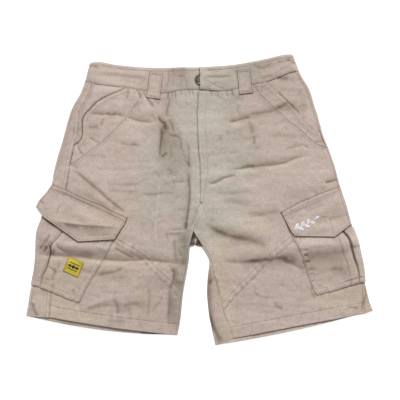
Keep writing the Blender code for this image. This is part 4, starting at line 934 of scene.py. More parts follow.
def backPiece(name, half):
    # flat on the table, rolled round the side edge up to the side seam, and round the inseam below the crotch
    side, (highRise, lowRise) = half["side"], half["rowRise"]
    seam, edge, inseam, corner = half["seam"], half["edge"], half["inseam"], half["corner"]
    rows, crotchRow, underColumns, rollColumns, stripColumns, wrapColumns = 220, 136, 46, 10, 22, 16
    k = np.arange(rows + 1)[:, None]
    seamY = corner[1] + (seam[-1][1] - corner[1]) * k / rows
    seamX = atY(seam, seamY)
    edgeY = seamY + highRise + (lowRise - highRise) * k / rows
    edgeX = atY(edge, edgeY)
    waistY, crotchY, hemY = 209, half["inner"][0][1], half["inner"][-1][1]
    innerY = np.where(k <= crotchRow, waistY + (crotchY - waistY) * k / crotchRow,
                      crotchY + (hemY - crotchY) * (k - crotchRow) / (rows - crotchRow))
    centreX = atY(centreBack, innerY) + side * halfGap
    innerX = np.where(k <= crotchRow, centreX, atY(half["innerEdge"], innerY))
    lowZ = waistLift(edgeX, edgeY)
    radius = (frontHeight(seamX, seamY) - lowZ) / 2
    startX = innerX + np.where(k > crotchRow, side * radius, 0.0)
    endX = edgeX - side * radius
    hem = sagging([seam[-1], inseam[-1], half["innerEdge"][-1]], half["hemSag"], 40)

    def bent(x, y):
        # the first row lies on the waist seam, and the rows below it ease back to their own line
        return y + (atX(bandBottom, x[0]) - halfGap - y[0]) * np.clip(1 - k / 30, 0, 1) ** 2

    share = np.arange(underColumns + 1) / underColumns
    underX = startX + (endX - startX) * share
    underY = bent(underX, innerY + (edgeY - innerY) * share)
    underY = underY - half["slack"] * np.sin(np.pi * share) * ease((k - rows + 22) / 22)
    lifted = foldField(underX, underY, backFolds) + 0.25 * softNoise(underX, underY, 30, 17) - 0.1
    rim = np.minimum(np.abs(underX - atY(edge, underY)), 40)
    away, beside, _ = nearLine(hem, underX, underY)
    past = np.where(beside * side > 0, away, -away)
    underZ = waistLift(underX, underY) + np.maximum(lifted, 0) * ease(rim / 18)
    underZ = underZ + half["lipLift"] * ease((past + 1.5) / 3)

    angle = np.pi * (np.arange(rollColumns + 1) / rollColumns - 0.5)
    roll = angle[1:]
    rollX = edgeX - side * radius * (1 - np.cos(roll))
    rollY = bent(rollX, edgeY + 0 * roll)
    rollZ = lowZ + radius * (1 + np.sin(roll))
    rollU = endX + side * radius * (roll + np.pi / 2)

    part = np.arange(1, stripColumns + 1) / stripColumns
    stripX = endX * (1 - part) + seamX * part
    stripY = bent(stripX, edgeY + (seamY - edgeY) * part)
    stripX = stripX + side * halfGap * part
    stripZ = frontHeight(stripX, stripY)
    stripZ = stripZ + edgeRelief(seam, stripX, stripY, sideFell, 101 + side) * ease(part * 2.5)
    stripU = endX + side * (np.pi * radius + np.abs(stripX - endX))

    x, y = np.hstack([underX, rollX, stripX]), np.hstack([underY, rollY, stripY])
    z, u = np.hstack([underZ, rollZ, stripZ]), np.hstack([underX, rollU, stripU])
    inShade = foldField(x, y, crotchShade, 5) + 1.9 * np.exp(-(nearLine(hem, x, y)[0] / 1.1) ** 1.5)
    main = gridMesh((x, y, z, u, y), 0.0, frontFolds, inShade)
    sew("back" + name, seam, [seam, edge], sideFell["rows"])

    # round the inseam
    x0, y0 = innerX[crotchRow:], innerY[crotchRow:]
    lean = half["leanAt"](y0)
    own = frontHeight(x0 + side * lean, y0) / 2
    rollX = x0 + side * own * (1 - np.cos(angle))
    rollZ = own * (1 + np.sin(angle))
    rollX[:, :1], rollZ[:, :1] = startX[crotchRow:], waistLift(x0, y0)
    part = np.arange(1, wrapColumns + 1) / wrapColumns
    flatX = (x0 + side * own) * (1 - part) + (x0 + side * (lean - halfGap)) * part
    flatY = y0 + 0 * flatX
    flatZ = frontHeight(flatX, flatY)
    flatZ = flatZ + edgeRelief(inseam, flatX, flatY, legSeam, 111 + side) * ease(part * 2.5)
    x, z = np.hstack([rollX, flatX]), np.hstack([rollZ, flatZ])
    y = y0 + half["cuffAt"](y0) * np.append(0 * angle, part)
    u = np.hstack([x0 + side * own * (1 - angle), flatX + side * 4])
    wrap = gridMesh((x, y, z, u, y0), 0.0, frontFolds)
    hemLine = sagging([(innerX[-1, 0], innerY[-1, 0]), (edgeX[-1, 0], edgeY[-1, 0])], -half["slack"], 40)
    sheetPiece("back" + name, [main, wrap], ["back_" + name.lower()], ["table"], hemmed=(1.9, hemLine))


# how dark the back is where the front opens over it
crotchShade = spots(
    (1.6, 3, 1.6, (-322, -222), (-300, -229), (-270, -235), (-225, -240)),
    (2.4, 3.2, 1.6, (-116, -253), (-98, -256), (-78, -256)),
    (1, 13, 4, (-12, -50), (-10, -90)),
    (2.6, 2.6, 1.8, (-12, -54), (-10, -65)),
    (2.4, 1.7, 1.6, (-19, -64), (-13, -67), (6, -82)),
    (2.2, 1.8, 1.6, (-13, -68), (-16, -77), (-19, -90)),
    (-0.9, 2.4, 1.6, (-11, -74), (-7, -76), (-3, -80)),
    (2.4, 1.9, 1.6, (-22, -83), (-10, -84.5), (6, -88)),
    (2.4, 2.4, 1.6, (-6, -86), (-2, -81), (3, -78)),
)

# creases where the back lifts off the table: same columns as the front's
backFolds = [
    ([(-300, -96), (-200, -108), (-100, -112), (-30, -120)], 12, 8, 1.3, 1.5, 0.3),
    ([(-240, 60), (-180, 10), (-120, -20)], 8, 6, 1, 1.5, 0.3),
    ([(-200, 150), (-130, 140), (-70, 146)], 8, 6, 1, 1.5, 0.3),
    ([(-60, 190), (-52, 130), (-40, 60)], 7, 7, 0.9, 1.5, 0.3),
    ([(-230, -190), (-180, -180), (-120, -196)], 8, 8, 0.9, 1.6, 0.3),
    ([(40, -70), (110, -86), (190, -84)], 10, 8, 1.2, 1.5, 0.3),
    ([(60, -124), (140, -112), (290, -100)], 10, 8, 1.2, 1.5, 0.3),
    ([(40, 44), (210, 82)], 9, 7, 1.1, 1.5, 0.3),
    ([(60, 150), (110, 160), (160, 176)], 8, 7, 0.9, 1.5, 0.3),
    ([(-12, 130), (-4, 60), (-14, -10), (-10, -60)], 7, 7, 0.8, 1.5, 0.3),
    ([(180, -170), (230, -176), (280, -166)], 8, 8, 0.8, 1.6, 0.3),
]

waistband = dict(
    wall=2,
    rows=40,
    ends=(-217, 189),   # where it turns round the sides
    rise=0.4,           # above the panels it is sewn to
    underlap=20,        # its under end runs this far past the centre
    overEnd=0.8,        # where its over end stops
    topRow=6.6,         # stitching below the folded top edge
    seamRow=2,
    spacing=1.25,
    backSpacing=4,
)
bandFolds = [
    ([(-211, 254.5), (-189, 251)], 2.4, 2.9, -1, 1.2, 0.48),
    ([(-198, 244), (-160, 243), (-140, 240), (-96, 236)], 5, 4.8, 1, 1.3, 0),
    ([(-196, 238), (-160, 237), (-140, 234), (-98, 230)], 3, 4.8, -0.6, 1.3, 0.4),
    ([(-207, 236), (-190, 228), (-176, 232)], 4, 4.8, 0.6, 1.6, 0),
    ([(-60, 247), (-58, 230), (-64, 211)], 3, 3.6, -1, 1.3, 0.4),
    ([(-52, 250), (-50, 235), (-52, 213)], 3.5, 4.2, -0.6, 1.3, 0.28),
    ([(-36, 241), (-34, 226), (-38, 211)], 3, 3.6, -0.6, 1.4, 0.2),
    ([(-51, 235.5), (-32, 234.5), (-26, 229), (-24, 211)], 1.7, 2, -0.6, 1.2, 0.32),
    ([(6, 228), (15, 233), (30, 233.5), (45, 234), (62, 236)], 3, 3.2, -1.2, 1.2, 0.7),
    ([(10, 220), (14, 227), (22, 222), (27, 219), (33, 226)], 1.7, 1.7, -0.6, 1.2, 0.6),
    ([(26, 220), (36, 214), (50, 211)], 1.8, 1.8, -0.6, 1.3, 0.5),
    ([(14, 244), (26, 246), (34, 243), (44, 248)], 1.8, 1.8, -0.5, 1.3, 0.45),
    ([(12, 224), (28, 226), (46, 224)], 4, 6, 0.6, 1.5, 0),
    ([(101, 257), (114, 250.5), (126, 252), (138, 260)], 5, 3.6, -1.1, 1.2, 0.48),
    ([(110, 238), (134, 240), (153, 249)], 5, 4.8, 0.7, 1.6, 0),
    ([(145, 262), (160, 262), (173, 268)], 3, 3.6, -1, 1.2, 0.4),
    ([(165, 268), (183, 256)], 2.6, 2.9, -1.3, 1.1, 0.56),
    ([(150, 246), (166, 252), (179, 262)], 4, 4.8, -0.7, 1.4, 0.2),
    ([(-156, 226), (-136, 224), (-112, 218)], 4, 4.8, -0.6, 1.4, 0.16),
    ([(112, 230), (126, 232), (140, 237)], 3, 3.6, -0.6, 1.3, 0.2),
]

button = dict(
    radius=9,
    height=2.4,
    at=(0.6, 228),
    gap=0.3,
    # turned profile: domed centre, groove, rolled rim
    profile=[(0, 0.78), (0.30, 0.76), (0.52, 0.68), (0.62, 0.55), (0.68, 0.52), (0.74, 0.62), (0.80, 0.84),
             (0.88, 1), (0.95, 0.92), (1, 0.62), (0.99, 0.30), (0.92, 0.06), (0.80, 0), (0, 0)],
)


def faceHeight():
    return heap["stack"] + heap["waistLift"] + waistband["rise"]


def bandLean(x):
    lean = np.where(x < -187, 8.0 * (-187 - x) / 30, 0.0)
    return np.where(x > 157, -11.0 * (x - 157) / 32, lean)


def makeWaistband():
    # a strip from its under end round the back to its over end: x, z and 1 on the over end's side
    low, high = heap["waistLift"], faceHeight()
    radius = (high - low) / 2
    first, last = waistband["ends"]
    wall, spacing = waistband["wall"], waistband["spacing"]
    parts = []

    def straight(a, b, z, spacing, over):
        x = np.linspace(a, b, max(2, int(abs(b - a) / spacing)) + 1)
        parts.append(np.column_stack([x, np.full(x.shape, z), np.full(x.shape, over)]))

    def turn(end, side, over):
        angle = np.pi * (0.5 - np.linspace(0, 1, 13)[1:-1])
        x = end - side * radius * (1 - np.cos(angle))
        block = np.column_stack([x, low + radius + radius * np.sin(angle), np.full(x.shape, over)])
        parts.append(block if side < 0 else block[::-1])

    straight(waistband["underlap"], first + radius, high, spacing, 0)
    turn(first, -1, 0)
    straight(first + radius, last - radius, low, waistband["backSpacing"], 0)
    turn(last, 1, 1)
    straight(last - radius, waistband["overEnd"], high, spacing, 1)
    sx, sz, over = np.vstack(parts).T
    run = lineRun(np.column_stack([sx, sz]))
    height = 1 - packed(np.linspace(0, 1, waistband["rows"] + 1), 0.3)[:, None]
    bottomY = atX(bandBottom, sx) + halfGap
    topX = sx + bandLean(sx)
    topY = atX(bandTop, topX)
    x, y = sx + (topX - sx) * height, bottomY + (topY - bottomY) * height
    length = np.hypot(topX - sx, topY - bottomY)
    fromTop, fromSeam = (1 - height) * length, height * length
    fromEnd = np.minimum(x - first, last - x)

    front, back = sz > high - 0.01, sz < low + 0.01
    relief = foldField(x, y, bandFolds) + 0.30 * softNoise(x, y, 17, 23) + 0.14 * softNoise(x, y * 0.7, 7, 25)
    relief += 0.9 * np.sin(np.pi * height) ** 0.7
    relief += 0.3 * softNoise(x + fromTop, fromTop * 0.3, 5.5, 27) * np.exp(-np.maximum(fromTop - 6.6, 0) / 3)
    relief += 0.25 * softNoise(x, fromSeam * 0.3, 6.0, 29) * np.exp(-fromSeam / 6)
    for away, row in ((fromTop, "topRow"), (fromSeam, "seamRow")):
        relief -= 0.4 * bell((away - waistband[row]) / 1.1)
    relief -= 0.9 * bell(fromTop / 1.1) + 0.5 * bell(fromSeam / 0.9)
    z = sz + np.maximum(relief, -1.0) * ease((fromEnd - 2) / 8) * front
    # the over end lies on the under end, and on the button
    away = np.hypot(x - button["at"][0], (y - button["at"][1]) * 0.9)
    cover = (wall + 0.7) * (1 - ease((x - 22) / 26)) + (button["height"] + 0.3) * (1 - ease((away - 11) / 14))
    z = z + (over > 0.5) * front * cover
    lifted = np.maximum(0.5 * softNoise(x, y, 26, 31) + 0.1, 0) * ease(np.minimum(fromTop, fromSeam) / 9)
    z = z + back * lifted * ease((fromEnd - 3) / 10)

    for x0, x1, upward in ((-211, -1, True), (3, 184, True), (-208, 180, False)):
        seamLine = cutByX(bandBottom, x0, x1)
        topLine = cutByX(bandTop, x0 + (6 if x0 < -200 else 0), x1 - (9 if x1 > 100 else 0))
        for line, row in ((topLine, "topRow"), (seamLine, "seamRow")):
            sew("waistBand", line, [topLine, seamLine], (waistband[row],), upward)
    # the under end is in the shade of the over end beside the button
    underEnd = 2.0 * np.exp(-(np.abs(x - waistband["overEnd"]) / 1.7) ** 1.5) * (over < 0.5)
    mesh = gridMesh((x, y, z, run, y), 3.0, bandFolds, underEnd, rims=dict(bottom=1.1))
    sheetPiece("waistBand", [mesh], ["waistband"], ["backRight", "backLeft"], wall=wall)


def stripGrid(centre, half, columns, rows, height):
    # a straight strip round a centre line, from its top end to its bottom end
    line = evenLine(centre, rows)
    along = np.gradient(line, axis=0)
    along /= np.hypot(*along.T)[:, None]
    s, t = shares(columns, rows)
    offset = (2 * packed(s, 0.4) - 1) * half
    x, y = line[:, :1] - along[:, 1:] * offset, line[:, 1:] + along[:, :1] * offset
    z = height(x, y, half - np.abs(offset), t)
    return gridMesh((x, y, z, offset, lineRun(line)[:, None]), 4.0, rims=dict(start=1.3, end=1.0, bottom=2.2))


loops = dict(
    wall=1.2,
    backWall=1,
    width=24,
    rise=1.3,
    front=dict(Right=[(-82, 242), (-88, 193)], Left=[(83, 247), (88, 202)]),
    back=dict(Right=-140, Centre=0, Left=130),
    rows=2.6,           # stitching inside its long edges
)


def makeLoops():
    half, rows, wall = loops["width"] / 2, loops["rows"], loops["wall"]
    for name, centre in loops["front"].items():
        piece = "beltLoopFront" + name
        below = surfaces("waistBand", "frontUpper" + name)

        def height(x, y, away, t):
            end = np.minimum(t, 1 - t) * 49
            z = faceHeight() + 0.3 + wall + loops["rise"] * np.sin(np.pi * t) ** 0.8
            z += 0.25 * softNoise(x, y, 9, 40 + len(name)) - 0.35 * bell(away - rows) - 0.6 * bell(away / 0.9)
            z += 0.5 * bell((end - 7.5) / 2.5) * (t > 0.5) - 0.5 * bell((end - 3.0) / 1.2)
            return np.maximum(z, topOf(below, x, y) + wall + 0.25)

        line = np.array(centre, float)
        along = (line[1] - line[0]) / np.hypot(*(line[1] - line[0]))
        across = np.array([-along[1], along[0]])
        for offset in (-half + rows, half - rows):
            stitching.append((piece, line + across * offset, True))
        for inset in (2.2, 3.4, 4.6):
            for end, way in ((line[0], along), (line[1], -along)):
                middle = end + way * inset
                stitching.append((piece, np.array([middle - across * 9, middle + across * 9]), True))
        mesh = stripGrid(centre, half, 26, 54, height)
        sheetPiece(piece, [mesh], ["belt_loop_front_" + name.lower()], ["waistBand"], wall=wall)
    for name, x in loops["back"].items():
        centre = [(x, float(atX(bandTop, x)) - 5), (x, float(atX(bandBottom, x)) + 1)]

        def height(x, y, away, t):
            end = np.minimum(t, 1 - t) * 38
            return 0.3 * bell(away - rows) + 0.4 * bell(away / 0.9) + 0.3 * bell((end - 3.0) / 1.2)

        mesh = stripGrid(centre, half, 22, 40, height)
        sheetPiece("beltLoopBack" + name, [mesh], ["belt_loop_back_" + name.lower()], ["table"],
                   wall=loops["backWall"], faceUp=False)


fly = dict(
    edge=[(-2.5, 207), (-3, 188), (-4.5, 167), (-4.3, 149), (-3.2, 120), (-1.6, 91), (0.6, 68), (1.4, 40),
          (1.6, 12), (1, -4)],
    widths=[(207, 17), (60, 17), (30, 12), (-4, 5)],
    wall=1.2,
    lift=0.9,
    outerRow=1.6,
    innerRow=2.2,
)


def makeFly():
    columns, rows = 20, 150
    edge = smoothLine(fly["edge"], rows)
    s, _ = shares(columns, rows)
    wide = np.interp(edge[:, 1], *np.array(sorted(fly["widths"]), float).T)
    across = wide[:, None] * packed(s)
    x, y = edge[:, :1] + across, edge[:, 1:] + 0 * across
    below = surfaces("frontUpperLeft", "frontUpperRight")
    z = softened(np.maximum(topOf(below, x, y), frontHeight(x, y) - 0.6), 3) + fly["wall"] + 0.3
    inner = wide[:, None] - across
    z += fly["lift"] * bell((across - 2.5) / 3.0) - 0.7 * bell(across / 0.9) - 0.5 * bell(inner)
    z -= 0.25 * bell((inner - fly["innerRow"]) / 1.1)
    z += 0.22 * softNoise(across * 0.4, y, 7.0, 53) + 0.3 * softNoise(across * 0.5, y, 19.0, 55)
    for inset in (np.full(rows + 1, fly["outerRow"]), wide - fly["innerRow"]):
        stitching.append(("flyPlacket", edge + np.column_stack([inset, 0 * inset]), True))
    mesh = gridMesh((x, y, z, x, y), 2.8, rims=dict(start=1.5))
    sheetPiece("flyPlacket", [mesh], ["fly_placket"], ["frontUpperLeft"], wall=fly["wall"])


cargoPockets = dict(
    wall=0.9,
    panelRise=0.9,
    panelHeight=3.4,    # the pleat's edge over the pocket's lowest level
    # the pleat's fold from its top down to the gusset: share of that height, and the shift sideways
    pleatFold=[(1, 0), (0.97, 0.5), (0.84, 0.9), (0.66, 1.1), (0.46, 0.9), (0.28, 0.4), (0.16, -0.8),
               (0.08, -1.4), (0.03, -0.5), (0.01, 0.5), (0, 1.4)],
    gussetHeight=2.2,
    panelRow=15,
    innerEdge=dict(lap=12, lift=0.25, rows=[2, 11], pucker=0.5, pitch=5.5, slant=0.15, reach=4),
    bottomEdge=dict(lap=11.5, lift=0.45, rows=[2, 10.5], pucker=0.45, pitch=5.5, slant=0.15, reach=4),
    Right=dict(
        lines=[
            [(-154, -54), (-165, -80), (-171, -92), (-179, -107), (-193, -132), (-206, -153), (-214, -166),
             (-226, -190), (-229, -195)],
            [(-200, -50), (-212, -90), (-226, -120), (-243, -160), (-254, -186)],
            [(-248, -44), (-258, -61), (-270, -74), (-281, -87), (-281, -99), (-288, -127), (-296, -144),
             (-301, -166)],
        ],
        outer=(-30, -160),
        pleat=[(0, 0.6, 1.5), (0.32, 0.7, 1.7), (0.42, 1.3, 3), (0.6, 1.1, 2.6), (0.86, 0.8, 2.2),
               (1, 0.5, 0.3)],
        folds=[
            ([(-283, -63), (-290, -80), (-293, -88), (-288, -94)], 2.3, 2.3, -1.3, 1.2, 0.5),
            ([(-280, -75), (-297, -101)], 2.2, 2.2, -0.9, 1.2, 0.9),
            ([(-289, -71), (-303, -94)], 2.2, 2.2, -0.8, 1.2, 0.8),
            ([(-268, -80), (-269, -88), (-262, -94), (-252, -99)], 2.6, 2.6, -1.5, 1.2, 0.6),
            ([(-287, -126), (-277, -133), (-270, -140)], 2.4, 2.4, -1.5, 1.2, 0.5),
            ([(-295, -147), (-284, -153)], 2.4, 2.4, -1.1, 1.2, 0.4),
            ([(-275, -94), (-278, -100), (-279, -106)], 3, 3, -0.6, 1.5, 1.2),
            ([(-242, -170), (-235, -180)], 3, 3, -0.9, 1.3, 0.3),
            ([(-264, -115), (-269, -130), (-281, -153)], 1.6, 1.6, -0.7, 1.2, 0.45),
            ([(-310, -72), (-296, -78), (-286, -76)], 5, 4, -1, 1.4, 0.25),
            ([(-232, -128), (-214, -136), (-200, -139)], 5, 4, -0.9, 1.4, 0.25),
            ([(-206, -84), (-190, -94), (-176, -98)], 8, 6, -1.1, 1.5, 0.3),
        ],
    ),
    Left=dict(
        lines=[
            [(166, -50), (176, -71), (188, -91), (193.6, -105), (199.5, -124), (207, -147), (213, -163),
             (222, -181)],
            [(210, -46), (222, -90), (236, -130), (246, -158), (252, -173)],
            [(262, -44), (271, -59), (281, -71), (286, -85), (293, -111), (298, -126), (301, -144),
             (302, -157)],
        ],
        outer=(-50, -154),
        pleat=[(0, 1.1, 2.6), (0.1, 1.7, 3.4), (0.6, 1.6, 3.4), (0.8, 0.9, 2.6), (1, 0.5, 1.2)],
        folds=[
            ([(262, -71), (267, -82), (275, -108), (280, -120), (287, -150)], 1.1, 1.1, -0.5, 1.4, 1),
            ([(195, -95), (207, -95)], 2, 2, -1.1, 1.2, 0.5),
            ([(197, -104.5), (207, -104.5)], 1.8, 1.8, -1.3, 1.2, 1.2),
            ([(199, -116.5), (211, -116.5)], 1.8, 1.8, -1.2, 1.2, 0.9),
            ([(206, -132.5), (223, -132)], 2, 2, -1.2, 1.2, 0.6),
            ([(209, -141), (219, -141)], 1.8, 1.8, -1, 1.2, 0.4),
            ([(211, -154), (220, -153)], 2, 2, -1.1, 1.2, 0.4),
            ([(226, -160), (233, -169)], 2, 2, -1, 1.2, 0.4),
            ([(243, -163), (249, -175)], 1.8, 1.8, 0.9, 1.2, -0.2),
            ([(251, -160), (257, -172)], 1.8, 1.8, 0.9, 1.2, -0.2),
            ([(274, -155.5), (313, -145)], 1.8, 1.8, -1, 1.2, 0.5),
            ([(287, -149), (288, -161)], 1.6, 1.6, -0.9, 1.2, 1),
            ([(246, -134), (260, -130), (272, -134)], 5, 4, -1, 1.4, 0.25),
            ([(222, -86), (244, -84), (262, -88)], 6, 6, 0.7, 1.7, 0),
        ],
    ),
)


def makePocket(name):
    half, table, piece = halves[name.lower()], cargoPockets[name], "cargoPocket" + name
    side = half["side"]
    innerEdge, bottomEdge = cargoPockets["innerEdge"], cargoPockets["bottomEdge"]
    wall, low, tall = cargoPockets["wall"], cargoPockets["panelRise"], cargoPockets["panelHeight"]
    gusset = cargoPockets["gussetHeight"]
    rows, turnColumns = 88, 10
    top, bottom = table["outer"]
    outerY = np.linspace(top - 4, bottom - 2, rows + 1)
    outer = np.column_stack([atY(half["edge"], outerY) - side * 5.5, outerY])
    lines = [smoothLine(points, rows) for points in table["lines"]]
    lines += [lines[2] + np.array([side * 2.0, 0.6]), outer]
    # across the pocket: the line a column starts from, its share of the way to the next, its height and shift
    stops = [(0, share, low * ease(share * 4), 0.0) for share in np.arange(30) / 30]
    stops += [(1, share, low + (tall - low) * ease(share * 2 - 1), 0.0) for share in np.arange(28) / 28]
    pleatStart = len(stops)
    stops += [(2, 0.0, tall * level, shift) for level, shift in cargoPockets["pleatFold"]]
    stops += [(3, share, gusset * ease(share * 2.6), 0.0) for share in np.linspace(0.08, 1, 18)]
    t = np.linspace(0, 1, rows + 1)
    belly = 0.45 + 0.55 * ease(t * 2.5) * (1 - 0.85 * ease((t - 0.84) * 7))
    x, y, z, u = np.zeros((4, rows + 1, len(stops)))
    for i, (k, share, rise, shift) in enumerate(stops):
        line = lines[k] * (1 - share) + lines[min(k + 1, 4)] * share
        x[:, i], y[:, i], z[:, i] = line[:, 0] + side * shift, line[:, 1], rise * belly
        u[:, i] = np.abs(line[:, 0] - lines[0][:, 0])
    below = surfaces("back" + name, "frontUpper" + name, "frontLower" + name)
    ground = softened(np.maximum(topOf(below, x, y), heap["stack"] - 0.5), 3) + wall
    bottomLine = evenLine([line[-1] for line in lines])
    relief = 0.40 * softNoise(x, y, 22, 63 + side) + 0.22 * softNoise(x, y, 8, 65 + side)
    relief += 0.7 * foldField(x, y, frontFolds) + foldField(x, y, table["folds"])
    relief += edgeRelief(bottomLine, x, y, bottomEdge, 67 + side)
    relief += edgeRelief(np.repeat(lines[0], 4, axis=0), x, y, innerEdge, 68 + side)
    # the pleat's fold stays smoother than the cloth beside it
    relief[:, pleatStart - 1:pleatStart + 12] *= 0.3
    z = np.maximum(z + ground + 0.3 + relief, ground + 0.2)
    sew(piece, lines[0], [lines[0], lines[1]], innerEdge["rows"])
    sew(piece, bottomLine, [bottomLine, lines[1]], bottomEdge["rows"])
    panelRow = lines[2] + np.array([-side * cargoPockets["panelRow"], -2.0])
    stitching.append((piece, panelRow[16:-10], True))
    # round the side edge, just clear of the back's own fold
    middle = heap["stack"] / 2
    reach, centreZ = middle + wall + 0.9, middle + 0.2
    blend = np.arange(1, turnColumns + 1) / turnColumns
    fall = np.radians(84 * blend ** 0.9)
    sideY = np.linspace(top, bottom, rows + 1)[:, None]
    turnX = atY(half["edge"], sideY) - side * middle + side * reach * np.sin(fall)
    turnY = y[:, -1:] * (1 - blend) + sideY * blend
    turnZ = centreZ + (z[:, -1:] - centreZ) * np.cos(fall)
    turnU = u[:, -1:] + reach * fall
    x, y, z, u = [np.hstack(pair) for pair in ((x, turnX), (y, turnY), (z, turnZ), (u, turnU))]
    # the shade in the pleat: how far it reaches and how deep it is, down its length
    away, _, share = nearLine(lines[2] + np.array([side * 0.9, 0.0]), x, y)
    stop, shadeReach, depth = np.array(table["pleat"]).T
    pleatShade = np.interp(share, stop, depth) * np.exp(-(away / np.interp(share, stop, shadeReach)) ** 1.6)
    mesh = gridMesh((x, y, z, u * side, y), 3.0, frontFolds + table["folds"], pleatShade,
                    rims=dict(start=1.2, bottom=0.7))
    sheetPiece(piece, [mesh], ["cargo_pocket_" + name.lower()], ["frontUpper" + name, "frontLower" + name],
               wall=wall)


pocketFlaps = dict(
    wall=1.5,
    Right=dict(
        top=[(-280, 30), (-268, 24), (-252, 18), (-223, 4), (-189, -10), (-165, -22), (-138, -34)],
        inner=[(-138, -34), (-143, -46), (-152, -60), (-161, -75)],
        corner=(-230, -79), outer=[(-280, 30), (-292, 14), (-304, 0), (-311, -13)], tip=(-297, -32),
        folds=[
            ([(-276, 22), (-252, 12), (-223, -2), (-189, -16), (-165, -28), (-143, -38)],
              1.3, 1.3, -0.6, 1.3, 1.15),
            ([(-287, -37), (-252, -41), (-222, -46.5), (-172, -50), (-150, -54)], 9, 18, 2.3, 1.2, 0),
            ([(-268, -42), (-222, -48), (-172, -51.5), (-150, -55)], 1.8, 4, -0.5, 1.3, 0.75),
            ([(-258, -45), (-228, -51)], 2, 4, -0.3, 1.3, 0.35),
            ([(-270, 18), (-215, -2), (-170, -20), (-142, -36)], 3.4, 3.4, -0.1, 2.4, 0.35),
            ([(-282, 22), (-258, 10.5), (-220, -5.5), (-180, -23.5), (-141, -40)], 1.1, 1.1, -0.4, 1.3, 1.1),
            ([(-262, 1), (-272, -30)], 3, 3, -0.9, 1.3, 0.25),
            ([(-249, 0), (-255, -14), (-262, -25)], 3, 3, 0.8, 1.3, 0),
            ([(-304, -1), (-296, -8)], 2, 2, -1.2, 1.2, 0.5),
            ([(-225, -50), (-223, -64)], 3, 3, 0.8, 1.3, 0),
            ([(-216, -66), (-190, -68), (-163, -66)], 5, 3, -0.8, 1.4, 0.25),
            ([(-290, -10), (-262, -8), (-230, -18)], 10, 8, -0.7, 1.8, 0.1),
        ],
    ),
    Left=dict(
        top=[(265, 25), (244, 18), (212, 5), (183, -8), (155, -24)],
        inner=[(155, -24), (163, -39), (172, -57), (180, -68)],
        corner=(256, -70), outer=[(265, 25), (272, 4), (279, -16), (283, -30)], tip=(288, -46),
        folds=[
            ([(244, -36), (286, -27)], 5, 4, -0.9, 1.3, 0.45),
            ([(229, -36), (236, -32), (244, -34), (249, -42), (247, -52)], 1.6, 1.6, -0.5, 1.3, 0.3),
            ([(249, -46), (252, -58), (252, -68)], 1.8, 1.8, -0.6, 1.2, 0.3),
            ([(155, -33), (180, -23), (212, -9), (250, 6)], 1.1, 1.1, -0.4, 1.3, 0.8),
            ([(188, -61), (220, -64), (250, -60)], 6, 5, -0.8, 1.5, 0.2),
            ([(180, -30), (200, -42), (226, -48)], 9, 9, 0.8, 1.9, 0),
            ([(166, -35), (178, -36)], 3, 3, -0.9, 1.3, 0.3),
            ([(200, -20), (226, -12), (252, -8)], 8, 6, -0.8, 1.7, 0.15),
        ],
    ),
    topEdge=dict(lap=9, lift=0.6, rows=[1.5, 7.6], pucker=0.4, pitch=5, slant=0.2, reach=3),
    freeEdge=dict(lap=1, groove=0.9, rows=[3.4], pucker=0.24, pitch=6.5, slant=0.2, reach=5),
)


def makeFlap(name):
    table, piece, side = pocketFlaps[name], "pocketFlap" + name, halves[name.lower()]["side"]
    topEdge, freeEdge, wall = pocketFlaps["topEdge"], pocketFlaps["freeEdge"], pocketFlaps["wall"]
    top, inner, outer = [smoothLine(table[key]) for key in ("top", "inner", "outer")]
    bottom = evenLine([outer[-1], table["tip"], table["corner"], inner[-1]])
    borders = [top, bottom, outer, inner]
    s, t = [packed(share, 0.3) for share in shares(92, 60)]
    x, y = coonsPlace(*borders, s, t)
    below = surfaces("back" + name, "frontUpper" + name, "cargoPocket" + name)
    under = np.maximum(topOf(below, x, y), heap["stack"] - 0.8)
    relief = foldField(x, y, table["folds"])
    relief += 0.40 * softNoise(x, y, 21, 73 + side) + 0.20 * softNoise(x, y, 8, 75 + side)
    relief += edgeRelief(top, x, y, topEdge, 77 + side)
    rest = evenLine(np.vstack([outer, bottom[1:], inner[::-1][1:]]), 320)
    relief += edgeRelief(rest, x, y, freeEdge, 79 + side)
    fall = ease((nearLine(top[::4], x, y)[0] - 10) / 26)
    z = np.maximum(softened(under, 50) + wall + 0.5 + 1.6 * fall + relief, under + wall + 0.25)
    sew(piece, top, borders, topEdge["rows"])
    for line in (bottom, outer, inner):
        sew(piece, line, borders, freeEdge["rows"])
    mesh = gridMesh((x, y, z, *turned(x, y, -25 * side)), 4.0, table["folds"],
                    rims=dict(end=2.2, top=1.3, bottom=2.2))
    sheetPiece(piece, [mesh], ["pocket_flap_" + name.lower()], ["cargoPocket" + name, "frontUpper" + name],
               wall=wall)


patch = dict(
    corners=[(-247, -107), (-219, -119), (-231, -147), (-259, -134)],
    across=30,
    wall=0.7,
    rim=14,             # its border stitches, from the middle
    pitch=0.72,
    lozenges=[(-7, 3.8, 6), (0, 4.4, 8), (7, 3.8, 6)],
    lineAt=5.9,         # the rules over and under the lozenges
    lineHalf=9.5,
)


def patchSpot(u, v):
    # from the patch's own millimetres, u along its top edge, to the garment's
    a, b, c, d = np.array(patch["corners"], float)
    s = np.asarray(u / patch["across"] + 0.5)[..., None]
    t = np.asarray(0.5 - v / patch["across"])[..., None]
    return (a * (1 - s) + b * s) * (1 - t) + (d * (1 - s) + c * s) * t


